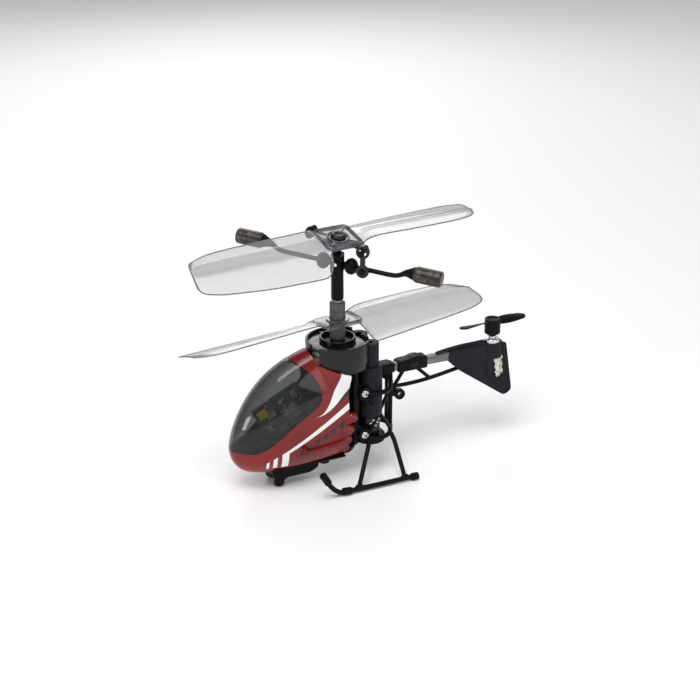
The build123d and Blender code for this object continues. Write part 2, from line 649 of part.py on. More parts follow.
def main():
    os.makedirs("parts", exist_ok=True)
    left, right, glass, belly = make_fuselage()
    save("fuselage_shell_left", left)
    save("fuselage_shell_right", right)
    save("canopy", glass)
    battery, board, chips, capacitor, eye, standoff = make_inside()
    save("battery", battery)
    save("circuit_board", board)
    save("board_chips", chips)
    save("capacitor", capacitor)
    save("infrared_eye", eye)
    save("board_standoff", standoff)
    foot, slider, socket = make_belly_fittings()
    save("belly_tray", belly - socket - foot)
    save("front_foot", foot)
    save("switch_slider", slider)
    save("charge_socket", socket)
    save("gear_housing", make_gear_housing())
    upper_bush, lower_bush = make_bushes()
    save("upper_bush", upper_bush)
    save("lower_bush", lower_bush)
    for side, name in ((1, "left"), (-1, "right")):
        motor, guard = make_motor(side)
        save(f"motor_{name}", motor)
        save(f"motor_guard_{name}", guard)
        save(f"frame_{name}", make_frame(side))
    save("motor_seat", make_motor_seat())
    save("frame_screws", make_screws())
    upper_gear, lower_gear, pinion_left, pinion_right = make_drive()
    save("upper_gear", upper_gear)
    save("lower_gear", lower_gear)
    save("pinion_left", pinion_left)
    save("pinion_right", pinion_right)
    outer, collar, nut, inner = make_shafts()
    save("outer_shaft", outer)
    save("sleeve_collar", collar)
    save("sleeve_nut", nut)
    save("inner_shaft", inner)
    save("lower_rotor_blades", make_lower_rotor())
    save("rotor_head", make_rotor_head())
    teeter_pin, feather_pin = make_pins()
    save("teeter_pin", teeter_pin)
    save("feather_pin", feather_pin)
    flybar, weights = make_flybar()
    save("flybar", flybar - weights)
    save("flybar_weights", weights)
    yoke, blades, cap = make_upper_rotor()
    save("upper_rotor_yoke", yoke)
    save("upper_rotor_blades", blades)
    save("rotor_cap", cap)
    save("flybar_link", make_link())
    boom, socket, brace, hole = make_tail()
    save("tail_boom", boom)
    save("boom_socket", socket)
    save("tail_brace", brace)
    motor = make_tail_motor()
    save("tail_fin", make_fin(hole, brace))
    save("tail_motor", motor)
    save("tail_rotor", make_tail_rotor())
    save("tail_wires", make_tail_wires())
    skids = [make_skid(1), make_skid(-1)]
    save("skid_left", skids[0])
    save("skid_right", skids[1])
    save("skid_sleeves", make_skid_sleeves(skids))


if __name__ == "__main__":
    main()
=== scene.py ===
"""Palm-size coaxial toy helicopter: finished surfaces and materials round the packed model.

Lengths in the shape functions are in millimetres in the part's own frame: X to the
nose, Y to the left, Z up, with the origin on the ground under the rotor shaft.
"""

import json
import math

import bpy
import numpy as np
from bpy.props import FloatProperty, FloatVectorProperty, IntProperty, PointerProperty
from mathutils import Matrix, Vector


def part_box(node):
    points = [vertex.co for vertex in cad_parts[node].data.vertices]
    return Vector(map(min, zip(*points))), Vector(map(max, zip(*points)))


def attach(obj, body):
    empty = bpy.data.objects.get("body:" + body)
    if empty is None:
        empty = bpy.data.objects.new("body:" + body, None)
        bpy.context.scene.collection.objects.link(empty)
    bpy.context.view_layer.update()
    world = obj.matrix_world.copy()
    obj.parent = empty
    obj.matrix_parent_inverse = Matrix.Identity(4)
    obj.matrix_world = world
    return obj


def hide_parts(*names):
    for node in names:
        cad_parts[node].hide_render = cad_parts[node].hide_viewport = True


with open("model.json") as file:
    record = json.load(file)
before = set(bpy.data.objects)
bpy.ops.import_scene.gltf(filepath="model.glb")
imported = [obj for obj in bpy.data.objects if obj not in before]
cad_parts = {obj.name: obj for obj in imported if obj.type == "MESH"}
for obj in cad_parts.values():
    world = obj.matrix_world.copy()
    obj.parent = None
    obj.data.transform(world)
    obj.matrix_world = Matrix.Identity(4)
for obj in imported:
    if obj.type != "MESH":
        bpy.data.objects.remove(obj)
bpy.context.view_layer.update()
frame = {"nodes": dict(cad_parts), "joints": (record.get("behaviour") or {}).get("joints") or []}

bl_info = {
    "name": "Coaxial toy helicopter",
    "version": (1, 0, 0),
    "blender": (4, 5, 0),
    "location": "3D View > Sidebar > Helicopter",
    "description": "Builds the pieces, materials and studio of a palm-size coaxial helicopter",
    "category": "Object",
}

MM = 0.001
JOINT = {joint["name"]: joint for joint in frame["joints"]}


def place_of(joint):
    """Pivot of a joint, in millimetres."""
    return np.array(JOINT[joint]["pos_m"]) / MM


def box_of(node):
    """Low and high corner of a CAD node, in millimetres."""
    low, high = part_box(node)
    return np.array(low) / MM, np.array(high) / MM


# ---- shapes ----------------------------------------------------------------
class Shape:
    """Points and faces of one or more surfaces; adding two shapes joins them."""

    def __init__(self, points, faces):
        self.points = np.asarray(points, float).reshape(-1, 3)
        self.faces = [tuple(int(i) for i in f) for f in faces]

    def __add__(self, other):
        start = len(self.points)
        moved = [tuple(i + start for i in f) for f in other.faces]
        return Shape(np.vstack([self.points, other.points]), self.faces + moved)

    def turned(self, matrix, centre=(0, 0, 0)):
        """Turns the shape about a centre by a 3x3 matrix."""
        centre = np.asarray(centre, float)
        return Shape((self.points - centre) @ np.asarray(matrix).T + centre, self.faces)

    def shifted(self, offset):
        return Shape(self.points + np.asarray(offset, float), self.faces)

    def mirrored(self):
        """The same shape on the other side, with its faces still outward."""
        flipped = [f[::-1] for f in self.faces]
        return Shape(self.points * (1, -1, 1), flipped)


def joined(shapes):
    """All the shapes as one."""
    total = shapes[0]
    for shape in shapes[1:]:
        total = total + shape
    return total


def spin(axis, degrees):
    """Rotation matrix about an axis, by Rodrigues' formula."""
    x, y, z = np.asarray(axis, float) / np.linalg.norm(axis)
    a = math.radians(degrees)
    cross = np.array([[0, -z, y], [z, 0, -x], [-y, x, 0]])
    return np.eye(3) + math.sin(a) * cross + (1 - math.cos(a)) * cross @ cross


def basis(z_axis, x_hint=(1, 0, 0)):
    """Matrix whose columns are a frame with the given Z and an X near the hint."""
    z = np.asarray(z_axis, float) / np.linalg.norm(z_axis)
    hint = np.asarray(x_hint, float)
    if abs(hint @ z) > 0.95 * np.linalg.norm(hint):
        hint = np.array([0.0, 1.0, 0.0]) if abs(z[1]) < 0.9 else np.array([0.0, 0.0, 1.0])
    x = hint - (hint @ z) * z
    x /= np.linalg.norm(x)
    return np.column_stack([x, np.cross(z, x), z])


def grid(points, close_u=False, close_v=False):
    """Quads over a grid of points[u, v]; either direction may close on itself."""
    rows, cols = points.shape[:2]
    u = np.arange(rows if close_u else rows - 1)
    v = np.arange(cols if close_v else cols - 1)
    uu, vv = np.meshgrid(u, v, indexing="ij")
    u2, v2 = (uu + 1) % rows, (vv + 1) % cols
    faces = np.stack([uu * cols + vv, u2 * cols + vv, u2 * cols + v2, uu * cols + v2], -1)
    return Shape(points.reshape(-1, 3), faces.reshape(-1, 4))


def capped(points):
    """Closed tube of rings points[u, v], with an n-sided face on each end."""
    shape = grid(points, close_v=True)
    rows, cols = points.shape[:2]
    first = tuple(range(cols))
    last = tuple(range((rows - 1) * cols, rows * cols))[::-1]
    shape.faces += [first, last]
    return shape


def rounded(profile, radius, steps=5, closed=False):
    """Corners of a 2-D line replaced by arcs, which cut in at most 45% of a side.

    Each arc is the quadratic curve between its two tangent points and the corner.
    """
    points = [np.asarray(p, float) for p in profile]
    count = len(points)
    out = []
    for i, corner in enumerate(points):
        if not closed and i in (0, count - 1):
            out.append(corner)
            continue
        before, after = points[i - 1] - corner, points[(i + 1) % count] - corner
        reach = [min(radius, 0.45 * np.linalg.norm(side)) for side in (before, after)]
        a = corner + before / np.linalg.norm(before) * reach[0]
        b = corner + after / np.linalg.norm(after) * reach[1]
        for t in np.linspace(0, 1, steps):
            out.append((1 - t) ** 2 * a + 2 * t * (1 - t) * corner + t**2 * b)
    return np.array(out)


def lathe(profile, origin=(0, 0, 0), axis=(0, 0, 1), round_by=0.15, segments=48, closed=False):
    """Profile of (radius, height) pairs carried round an axis.

    A point is origin + radius*(cos a, sin a) + height along the axis. An open
    profile starts and ends on the axis; a closed one makes a ring.
    """
    line = rounded(profile, round_by, closed=closed)
    angle = np.arange(segments) * 2 * math.pi / segments
    r, h = line[:, 0][:, None], line[:, 1][:, None]
    local = np.stack([r * np.cos(angle), r * np.sin(angle), h + 0 * angle], -1)
    points = local @ basis(axis).T + np.asarray(origin, float)
    if closed:
        return grid(points[:, ::-1], close_u=True, close_v=True)
    middle = grid(points[1:-1, ::-1], close_v=True)
    start, rings = len(middle.points), points.shape[0] - 2
    middle.points = np.vstack([middle.points, points[0, :1], points[-1, :1]])
    for i in range(segments):
        j = (i + 1) % segments
        middle.faces.append((start, i, j))
        base = (rings - 1) * segments
        middle.faces.append((start + 1, base + j, base + i))
    return middle


def smooth_path(points, per_span=8):
    """Centripetal-like curve through the points: a Catmull-Rom spline."""
    p = np.asarray(points, float)
    ends = np.vstack([2 * p[0] - p[1], p, 2 * p[-1] - p[-2]])
    t = np.linspace(0, 1, per_span, endpoint=False)[:, None]
    out = []
    for i in range(1, len(ends) - 2):
        a, b, c, d = ends[i - 1 : i + 3]
        out.append(0.5 * (2 * b + (c - a) * t + (2 * a - 5 * b + 4 * c - d) * t**2
                          + (3 * b - a - 3 * c + d) * t**3))
    return np.vstack(out + [p[-1:]])


def sweep(path, radius, sides=16, up=(0, 0, 1), squash=1.0):
    """Round bar along a path, with domed ends.

    Each ring is centre + r*(cos a * side + sin a * normal), with side square to the
    path and to the up hint. radius is a number or one for each point of the path.
    """
    path = np.asarray(path, float)
    radii = np.broadcast_to(np.asarray(radius, float), len(path)).copy()
    tangent = np.gradient(path, axis=0)
    tangent /= np.linalg.norm(tangent, axis=1)[:, None]
    dome = np.linspace(0, math.pi / 2, 5)[1:]
    head = path[0] - tangent[0] * (radii[0] * 0.45 * np.sin(dome[::-1]))[:, None]
    tail = path[-1] + tangent[-1] * (radii[-1] * 0.45 * np.sin(dome))[:, None]
    radii = np.concatenate([radii[0] * np.cos(dome[::-1]), radii, radii[-1] * np.cos(dome)])
    radii = np.maximum(radii, radii.max() * 0.02)
    path = np.vstack([head, path, tail])
    tangent = np.vstack([np.repeat(tangent[:1], 4, 0), tangent, np.repeat(tangent[-1:], 4, 0)])
    side = np.cross(tangent, np.asarray(up, float))
    side /= np.linalg.norm(side, axis=1)[:, None]
    normal = np.cross(side, tangent)
    a = np.arange(sides) * 2 * math.pi / sides
    ring = (np.cos(a)[None, :, None] * side[:, None] + squash * np.sin(a)[None, :, None] * normal[:, None])
    return capped(path[:, None] + radii[:, None, None] * ring)


def slab(outline, low, high, bevel=0.12, place=np.eye(3), origin=(0, 0, 0)):
    """Flat plate from a closed outline that runs anticlockwise, with rounded rims.

    The rims are rings of the outline drawn in along its own normals by
    bevel*(1 - sin a) while the height moves by bevel*(1 - cos a).
    """
    line = np.asarray(outline, float)
    ahead = np.roll(line, -1, 0) - np.roll(line, 1, 0)
    inward = np.stack([-ahead[:, 1], ahead[:, 0]], -1)
    inward /= np.linalg.norm(inward, axis=1)[:, None]
    rings = [(line + inward * bevel * (1 - math.sin(a)), low + bevel * (1 - math.cos(a)))
             for a in np.linspace(0, math.pi / 2, 4)]
    rings += [(line + inward * bevel * (1 - math.cos(a)), high - bevel + bevel * math.sin(a))
              for a in np.linspace(0, math.pi / 2, 4)]
    points = np.stack([np.column_stack([xy, np.full(len(xy), z)]) for xy, z in rings])
    shape = capped(points[:, ::-1])
    shape.points = shape.points @ np.asarray(place).T + np.asarray(origin, float)
    return shape


def brick(low, high, bevel=0.12):
    """Box between two corners with softened edges."""
    (x0, y0, z0), (x1, y1, z1) = low, high
    outline = rounded([(x0, y0), (x1, y0), (x1, y1), (x0, y1)], bevel * 1.6, 4, closed=True)
    return slab(outline, z0, z1, bevel)


def ball(centre, radii, segments=24):
    """Ellipsoid by its own polar formula."""
    a = np.linspace(-math.pi / 2, math.pi / 2, segments // 2 + 1)
    profile = np.column_stack([np.cos(a), np.sin(a)])
    profile[0, 0] = profile[-1, 0] = 0.0
    shape = lathe(profile, round_by=0.0, segments=segments)
    shape.points = shape.points * np.asarray(radii, float) + np.asarray(centre, float)
    return shape


def make(name, shape, material, body, stands_for=(), smooth=35, extra=()):
    """Mesh object from a shape, with its material, body and the CAD nodes that it replaces."""
    name = name.replace(" ", "_")
    mesh = bpy.data.meshes.new(name)
    mesh.from_pydata((shape.points * MM).tolist(), [], shape.faces)
    mesh.validate()
    piece = bpy.data.objects.new(name, mesh)
    bpy.context.scene.collection.objects.link(piece)
    for item in [material, *extra]:
        mesh.materials.append(item)
    weld = piece.modifiers.new("weld", "WELD")
    weld.merge_threshold = 0.00001
    settle(piece)
    piece.data.shade_smooth()
    piece.data.set_sharp_from_angle(angle=math.radians(smooth))
    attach(piece, body)
    if stands_for:
        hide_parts(*stands_for)
    return piece


def settle(piece):
    """Applies all the modifiers of a piece."""
    bpy.context.view_layer.update()
    graph = bpy.context.evaluated_depsgraph_get()
    result = bpy.data.meshes.new_from_object(piece.evaluated_get(graph))
    piece.modifiers.clear()
    old = piece.data
    piece.data = result
    bpy.data.meshes.remove(old)
    result.name = piece.name


def walled(piece, thickness, offset=-1.0, skin=0):
    """Gives an open surface a wall; skin is the material slot of its outer face and rim."""
    wall = piece.modifiers.new("wall", "SOLIDIFY")
    wall.thickness = thickness * MM
    wall.offset = offset
    wall.use_even_offset = False
    wall.material_offset = skin
    wall.material_offset_rim = skin
    settle(piece)
    piece.data.shade_smooth()
    piece.data.set_sharp_from_angle(angle=math.radians(38))


# ---- shader maths ----------------------------------------------------------
class Val:
    """A number in a shader, written as arithmetic: each operator adds a Math node."""

    def __init__(self, shader, socket):
        self.shader, self.socket = shader, socket

    def math(self, operation, *others):
        inputs = dict(enumerate([self, *others]))
        return self.shader.node("ShaderNodeMath", {"operation": operation}, inputs)

    def __add__(self, other):
        return self.math("ADD", other)

    def __sub__(self, other):
        return self.math("SUBTRACT", other)

    def __mul__(self, other):
        return self.math("MULTIPLY", other)

    def __truediv__(self, other):
        return self.math("DIVIDE", other)

    def __rsub__(self, other):
        return (self * -1.0) + other

    def __gt__(self, other):
        return self.math("GREATER_THAN", other)

    def __lt__(self, other):
        return self.math("LESS_THAN", other)

    __radd__, __rmul__ = __add__, __mul__

    def least(self, other):
        return self.math("MINIMUM", other)

    def most(self, other):
        return self.math("MAXIMUM", other)

    def size(self):
        return self.math("ABSOLUTE")

    def signed(self):
        """Turns a 0 or 1 into -1 or 1."""
        return self * 2.0 - 1.0

    def ramp(self, low, high):
        """0 below low, 1 above high and smooth between them."""
        settings = {"interpolation_type": "SMOOTHSTEP"}
        return self.shader.node("ShaderNodeMapRange", settings, {0: self, 1: low, 2: high})


class Shader:
    """One material and the nodes that make it."""

    def __init__(self, name):
        self.material = bpy.data.materials.new(name)
        self.material.use_nodes = True
        self.tree = self.material.node_tree
        self.tree.nodes.clear()
        self.output = self.tree.nodes.new("ShaderNodeOutputMaterial")
        self.coords = self.node("ShaderNodeTexCoord", {}, {}, "Object")

    def node(self, kind, settings, inputs, output=0):
        """Adds a node: settings first, then values or links; returns one output."""
        made = self.tree.nodes.new(kind)
        for key, value in settings.items():
            setattr(made, key, value)
        for key, value in inputs.items():
            if isinstance(value, Val):
                self.tree.links.new(value.socket, made.inputs[key])
            else:
                made.inputs[key].default_value = value
        return Val(self, made.outputs[output])

    def xyz(self):
        """The three Object coordinates, in millimetres."""
        split = "ShaderNodeSeparateXYZ"
        parts = [self.node(split, {}, {0: self.coords}, i) for i in range(3)]
        return [part * (1 / MM) for part in parts]

    def noise(self, scale, detail=3.0, rough=0.5, stretch=(1, 1, 1)):
        """Cloudy noise from 0 to 1; scale is in cycles for each metre."""
        place = self.node("ShaderNodeMapping", {}, {0: self.coords, "Scale": stretch})
        inputs = {"Vector": place, "Scale": scale, "Detail": detail, "Roughness": rough}
        return self.node("ShaderNodeTexNoise", {}, inputs)

    def cells(self, scale, feature="F1"):
        """Distance to the nearest point of a random scatter."""
        inputs = {"Vector": self.coords, "Scale": scale}
        return self.node("ShaderNodeTexVoronoi", {"feature": feature}, inputs)

    def mix(self, factor, first, second):
        """Blends two colours."""
        return self.node("ShaderNodeMix", {"data_type": "RGBA"}, {0: factor, 6: first, 7: second}, 2)

    def bump(self, height, strength, distance):
        inputs = {"Strength": strength, "Distance": distance * MM, "Height": height}
        return self.node("ShaderNodeBump", {}, inputs)

    def principled(self, **sockets):
        """Surface from socket values; an underscore in a key stands for a space."""
        named = {key.replace("_", " "): value for key, value in sockets.items()}
        return self.node("ShaderNodeBsdfPrincipled", {}, named)

    def surface(self, shader):
        self.tree.links.new(shader.socket, self.output.inputs[0])
        return self.material

    def facing(self, blend=0.5):
        """0 face-on and 1 edge-on."""
        return self.node("ShaderNodeLayerWeight", {}, {"Blend": blend}, 1)


def rgb(colour, shade=1.0):
    """Linear colour with its brightness scaled."""
    return (*[min(c * shade, 1.0) for c in colour[:3]], 1.0)


def band(value, low, high, soft=0.03):
    """1 between low and high, with soft edges."""
    rise = value.shader.node("ShaderNodeMapRange", {}, {0: value - low, 1: -soft, 2: soft})
    fall = value.shader.node("ShaderNodeMapRange", {}, {0: value - high, 1: soft, 2: -soft})
    return rise * fall


def line_through(x, a, b):
    """Height of the straight line through two (x, z) points, at x."""
    slope = (b[1] - a[1]) / (b[0] - a[0])
    return x * slope + (a[1] - slope * a[0])


UPRIGHT = np.column_stack([(1.0, 0, 0), (0, 0, 1.0), (0, -1.0, 0)])
MADE = {}


def finish_of(name):
    """The material of that name, made once."""
    if name not in MADE:
        MADE[name] = FINISHES[name]()
    return MADE[name]


def moulded(name, colour, rough, spread=0.08, grain=0.25, coat=0.0, shine=0.1):
    """Injection-moulded plastic: faint flow marks, fine grain and uneven gloss."""
    s = Shader(name)
    flow = s.noise(160, 4.0, 0.55, (1, 1, 0.35))
    grit = s.noise(5200, 2.0, 0.6)
    tone = s.mix(flow.ramp(0.3, 0.75), rgb(colour, 0.8), rgb(colour, 1.35))
    worn = s.cells(900).ramp(0.06, 0.02) * s.noise(420, 2.0).ramp(0.55, 0.7)
    tone = s.mix(worn * 0.35, tone, rgb([c + 0.03 for c in colour]))
    return s.surface(s.principled(
        Base_Color=tone,
        Roughness=flow * spread + (rough - spread / 2) + grit * 0.06,
        Coat_Weight=coat,
        Coat_Roughness=0.12,
        Specular_IOR_Level=shine,
        Normal=s.bump(grit + flow * 0.6, grain, 0.02),
    ))


def metal(name, colour, rough, brush=(1, 1, 12), depth=0.2):
    """Bright metal with fine turning or drawing marks."""
    s = Shader(name)
    marks = s.noise(2600, 3.0, 0.6, brush)
    cloud = s.noise(240, 3.0)
    tone = s.mix(cloud.ramp(0.3, 0.75), rgb(colour, 0.82), rgb(colour, 1.08))
    return s.surface(s.principled(
        Base_Color=tone,
        Metallic=1.0,
        Roughness=marks * 0.18 + (rough - 0.06),
        Normal=s.bump(marks, depth, 0.01),
    ))


# Side-view outlines of the printed stripes, as (x, z) points on the shell.
STRIPE_TOP = ((13.4, 9.75), (0.6, 17.45))
STRIPE_LOW = ((13.6, 8.85), (0.5, 16.15))
BAR_EDGES = ((13.3, 14.75), (15.65, 16.5), (17.3, 17.85))


def red_shell():
    """Gloss red moulding with printed white stripes, dashes and a two-tone swoosh."""
    s = Shader("gloss red shell")
    x, _, z = s.xyz()
    flake = s.cells(9000)
    depth = s.noise(120, 3.0)
    look = heli().red
    red = s.mix(depth.ramp(0.3, 0.7), rgb(look, 0.82), rgb(look, 1.15))
    red = s.mix(flake.ramp(0.25, 0.0) * 0.12, red, rgb((0.8, 0.2, 0.12)))
    above = z - line_through(x, *STRIPE_LOW)
    below = line_through(x, *STRIPE_TOP) - z
    stripe = band(above, 0, 9) * band(below, 0, 9) * (x < 13.75)
    lean = x + (z - 7) * -0.04
    bars = (z > 5.55) * below.ramp(-0.05, 0.05)
    bar_mask = band(lean, *BAR_EDGES[0])
    for low, high in BAR_EDGES[1:]:
        bar_mask = bar_mask.most(band(lean, low, high) * (z < line_through(x, (13.4, 9.35), (18, 8.15))))
    white = stripe.most(bars * bar_mask)
    # The swoosh lies between two curves that meet in a point towards the nose.
    rear = x - 7.8
    front_edge = 16.05 + rear * rear * 0.118 - (rear * rear * rear) * 0.030
    back_edge = 16.05 + rear * rear * 0.092 - (rear * -1.0).most(0.0) * 0.03
    ahead = (z < front_edge) * (z > back_edge) * (x < 7.8)
    white = white.most(ahead * (x > -1.5))
    shadow_edge = 15.9 - rear * 0.22 + rear * rear * 0.035
    dark = (z < back_edge) * (z > shadow_edge) * (x < 7.6)
    # Plain slanted dashes, where such a toy carries its decoration.
    along = (x * -0.889) + z * 0.457
    up = (x * 0.457) + z * 0.889
    cut = ((along - up * 0.45) * 0.5).math("FRACT")
    dashes = band(up, 11.9, 13.2) * band(along, -6.0, 5.0) * (cut < 0.62)
    paint = s.mix(white, red, rgb((0.86, 0.86, 0.85)))
    ink = rgb((0.012, 0.012, 0.014))
    paint = s.mix(dark.most(dashes * 0.93), paint, ink)
    peel = s.noise(700, 2.0)
    scuff = s.noise(1500, 4.0, 0.7, (1, 1, 0.2)).ramp(0.62, 0.8)
    return s.surface(s.principled(
        Base_Color=paint,
        Roughness=scuff * 0.12 + 0.2,
        Coat_Weight=0.55,
        Coat_Roughness=0.04,
        Specular_IOR_Level=0.2,
        Normal=s.bump(peel, 0.06, 0.03),
    ))


def smoke_screen():
    """Smoke-tinted windscreen: dark where it is seen edge-on, with hairline scratches."""
    s = Shader("smoke windscreen")
    haze = s.noise(200, 4.0, 0.6)
    hair = s.noise(900, 5.0, 0.8, (1, 0.3, 6)).ramp(0.66, 0.74)
    tone = s.mix(haze, rgb((0.010, 0.009, 0.009)), rgb((0.022, 0.020, 0.020)))
    cover = s.facing(0.4) * 0.45 + heli().smoke + hair * 0.06
    return s.surface(s.principled(
        Base_Color=tone,
        Roughness=hair * 0.2 + 0.045,
        Alpha=cover.least(0.97),
        Coat_Weight=0.55,
        Coat_Roughness=0.02,
        Specular_IOR_Level=0.4,
        Normal=s.bump(haze, 0.05, 0.05),
    ))


def clear_blade(name, turn, sense, low, high, weight):
    """Thin clear moulding: faint face-on, grey where it turns away or folds.

    The folded part is a band along each blade, measured across it from the axis.
    """
    s = Shader(name)
    x, y, _ = s.xyz()
    cos, sin = math.cos(math.radians(turn)), math.sin(math.radians(turn))
    span = x * cos + y * sin
    across = (y * cos - x * sin) * sense * (span > 0.0).signed()
    haze = s.noise(90, 3.0, 0.55, (1, 2.5, 1))
    wave = s.noise(60, 2.0) * 1.6 - 0.8
    # Painted shade: a band along the fold, darker and more opaque, stands in for the shade of the creased
    # clear plastic.
    fold = band(across + wave, low, high, 0.35)
    hair = s.noise(700, 5.0, 0.75, (0.25, 5, 1)).ramp(0.68, 0.76)
    tone = s.mix(haze.ramp(0.25, 0.75), rgb((0.24, 0.24, 0.245)), rgb((0.44, 0.44, 0.445)))
    # Painted shade: the tone goes darker grey over the fold band.
    tone = s.mix(fold * 0.6, tone, rgb((0.20, 0.20, 0.215)))
    cover = s.facing(0.45) * 0.42 + heli().clear + hair * 0.15 + haze.ramp(0.4, 0.75) * 0.06 + fold * weight
    return s.surface(s.principled(
        Base_Color=tone,
        Roughness=hair * 0.2 + 0.07,
        Alpha=cover.least(0.95),
        Coat_Weight=0.8,
        Coat_Roughness=0.03,
        Normal=s.bump(haze, 0.12, 0.25),
    ))


def blade_rim_shade():
    """Edge of the clear moulding, where light is trapped and it looks grey."""
    s = Shader("clear blade rim shade")
    haze = s.noise(400, 3.0)
    # Painted shade: dark to mid grey, partly opaque, for the edge of the clear plastic.
    tone = s.mix(haze, rgb((0.05, 0.05, 0.055)), rgb((0.20, 0.20, 0.21)))
    return s.surface(s.principled(Base_Color=tone, Roughness=haze * 0.2 + 0.12, Alpha=0.75))


def smoked_hub():
    """The thicker clear plate at the middle of a rotor."""
    s = Shader("clear hub")
    haze = s.noise(500, 4.0, 0.6)
    tone = s.mix(haze.ramp(0.3, 0.7), rgb((0.02, 0.02, 0.024)), rgb((0.16, 0.16, 0.18)))
    cover = s.facing(0.5) * 0.3 + haze * 0.15 + 0.5
    return s.surface(s.principled(
        Base_Color=tone, Roughness=haze * 0.12 + 0.04, Alpha=cover.least(0.96),
        Coat_Weight=0.8, Coat_Roughness=0.03, Normal=s.bump(haze, 0.3, 0.12),
    ))


def speckled_weight():
    """Cast flybar weight: brown-black with pale flecks."""
    s = Shader("speckled weight")
    cloud = s.noise(520, 5.0, 0.65)
    fleck = s.cells(1500).ramp(0.22, 0.05) * s.noise(800, 2.0).ramp(0.48, 0.62)
    tone = s.mix(cloud.ramp(0.3, 0.72), rgb((0.022, 0.019, 0.016)), rgb((0.085, 0.075, 0.062)))
    tone = s.mix(fleck * 0.8, tone, rgb((0.42, 0.40, 0.35)))
    return s.surface(s.principled(
        Base_Color=tone, Metallic=0.55, Roughness=cloud * 0.35 + 0.22,
        Normal=s.bump(cloud + fleck, 0.5, 0.06),
    ))


def boom_skin():
    """Dark grey drawn tube with long marks."""
    s = Shader("boom grey")
    drawn = s.noise(1800, 4.0, 0.6, (0.06, 1, 1))
    cloud = s.noise(150, 3.0)
    tone = s.mix(drawn.ramp(0.3, 0.75), rgb((0.10, 0.105, 0.11)), rgb((0.21, 0.215, 0.225)))
    return s.surface(s.principled(
        Base_Color=tone, Metallic=0.35, Roughness=cloud * 0.15 + 0.27, Normal=s.bump(drawn, 0.25, 0.02),
    ))


def circuit_green():
    """Lacquered board: dark green, with copper tracks and tinned pads under the lacquer."""
    s = Shader("board green")
    x, _, z = s.xyz()
    u, v = x * 0.883 - z * 0.469, x * 0.469 + z * 0.883
    lanes = ((u * 1.35).math("FRACT") - 0.5).size().ramp(0.20, 0.14)
    rows = ((v * 1.1).math("FRACT") - 0.5).size().ramp(0.18, 0.12)
    gate = s.noise(260, 1.0).ramp(0.45, 0.5)
    tracks = (lanes * gate).most(rows * (1 - gate))
    pads = s.cells(1100).ramp(0.26, 0.2) * s.noise(330, 1.0).ramp(0.5, 0.56)
    green = s.mix(tracks * 0.6, rgb((0.008, 0.06, 0.032)), rgb((0.03, 0.20, 0.10)))
    tone = s.mix(pads, green, rgb((0.62, 0.64, 0.62)))
    return s.surface(s.principled(
        Base_Color=tone, Roughness=pads * 0.1 + 0.25, Coat_Weight=0.6, Coat_Roughness=0.1,
        Normal=s.bump(tracks + pads, 0.4, 0.05),
    ))


def chip_case():
    """Beige-grey moulded chip and plated parts."""
    s = Shader("chip case")
    cloud = s.noise(900, 4.0, 0.6)
    tone = s.mix(cloud.ramp(0.3, 0.7), rgb((0.30, 0.27, 0.22)), rgb((0.60, 0.57, 0.50)))
    return s.surface(s.principled(
        Base_Color=tone, Roughness=cloud * 0.2 + 0.3, Metallic=0.25, Normal=s.bump(cloud, 0.3, 0.04),
    ))


def crumpled_foil():
    """Creased metal tape: flat facets that catch the light one by one."""
    s = Shader("crumpled foil")
    crease = s.cells(1500, "SMOOTH_F1")
    fold = s.noise(900, 4.0, 0.7)
    tone = s.mix(crease.ramp(0.1, 0.6), rgb((0.78, 0.74, 0.58)), rgb((0.62, 0.62, 0.58)))
    # Painted shade: over the folds the tone goes towards a darker copy of the gold.
    tone = s.mix(fold.ramp(0.6, 0.75) * 0.5, tone, rgb((0.20, 0.19, 0.15)))
    return s.surface(s.principled(
        Base_Color=tone, Metallic=0.85, Roughness=fold * 0.3 + 0.18,
        Normal=s.bump(crease * 1.5 + fold, 1.0, 0.25),
    ))


def soft_rubber():
    """Dark grey sleeve with a dusty bloom."""
    s = Shader("sleeve grey")
    dust = s.noise(700, 5.0, 0.65)
    tone = s.mix(dust.ramp(0.3, 0.75), rgb((0.045, 0.047, 0.05)), rgb((0.10, 0.102, 0.107)))
    return s.surface(s.principled(
        Base_Color=tone, Roughness=dust * 0.25 + 0.42, Normal=s.bump(dust, 0.4, 0.03),
    ))


def studio_floor():
    """Plain pale floor with a barely uneven sheen."""
    s = Shader("pale floor")
    cloud = s.noise(9, 2.0)
    tone = s.mix(cloud, rgb((0.95, 0.95, 0.95)), rgb((0.97, 0.97, 0.97)))
    return s.surface(s.principled(Base_Color=tone, Roughness=0.6, Specular_IOR_Level=0.2))


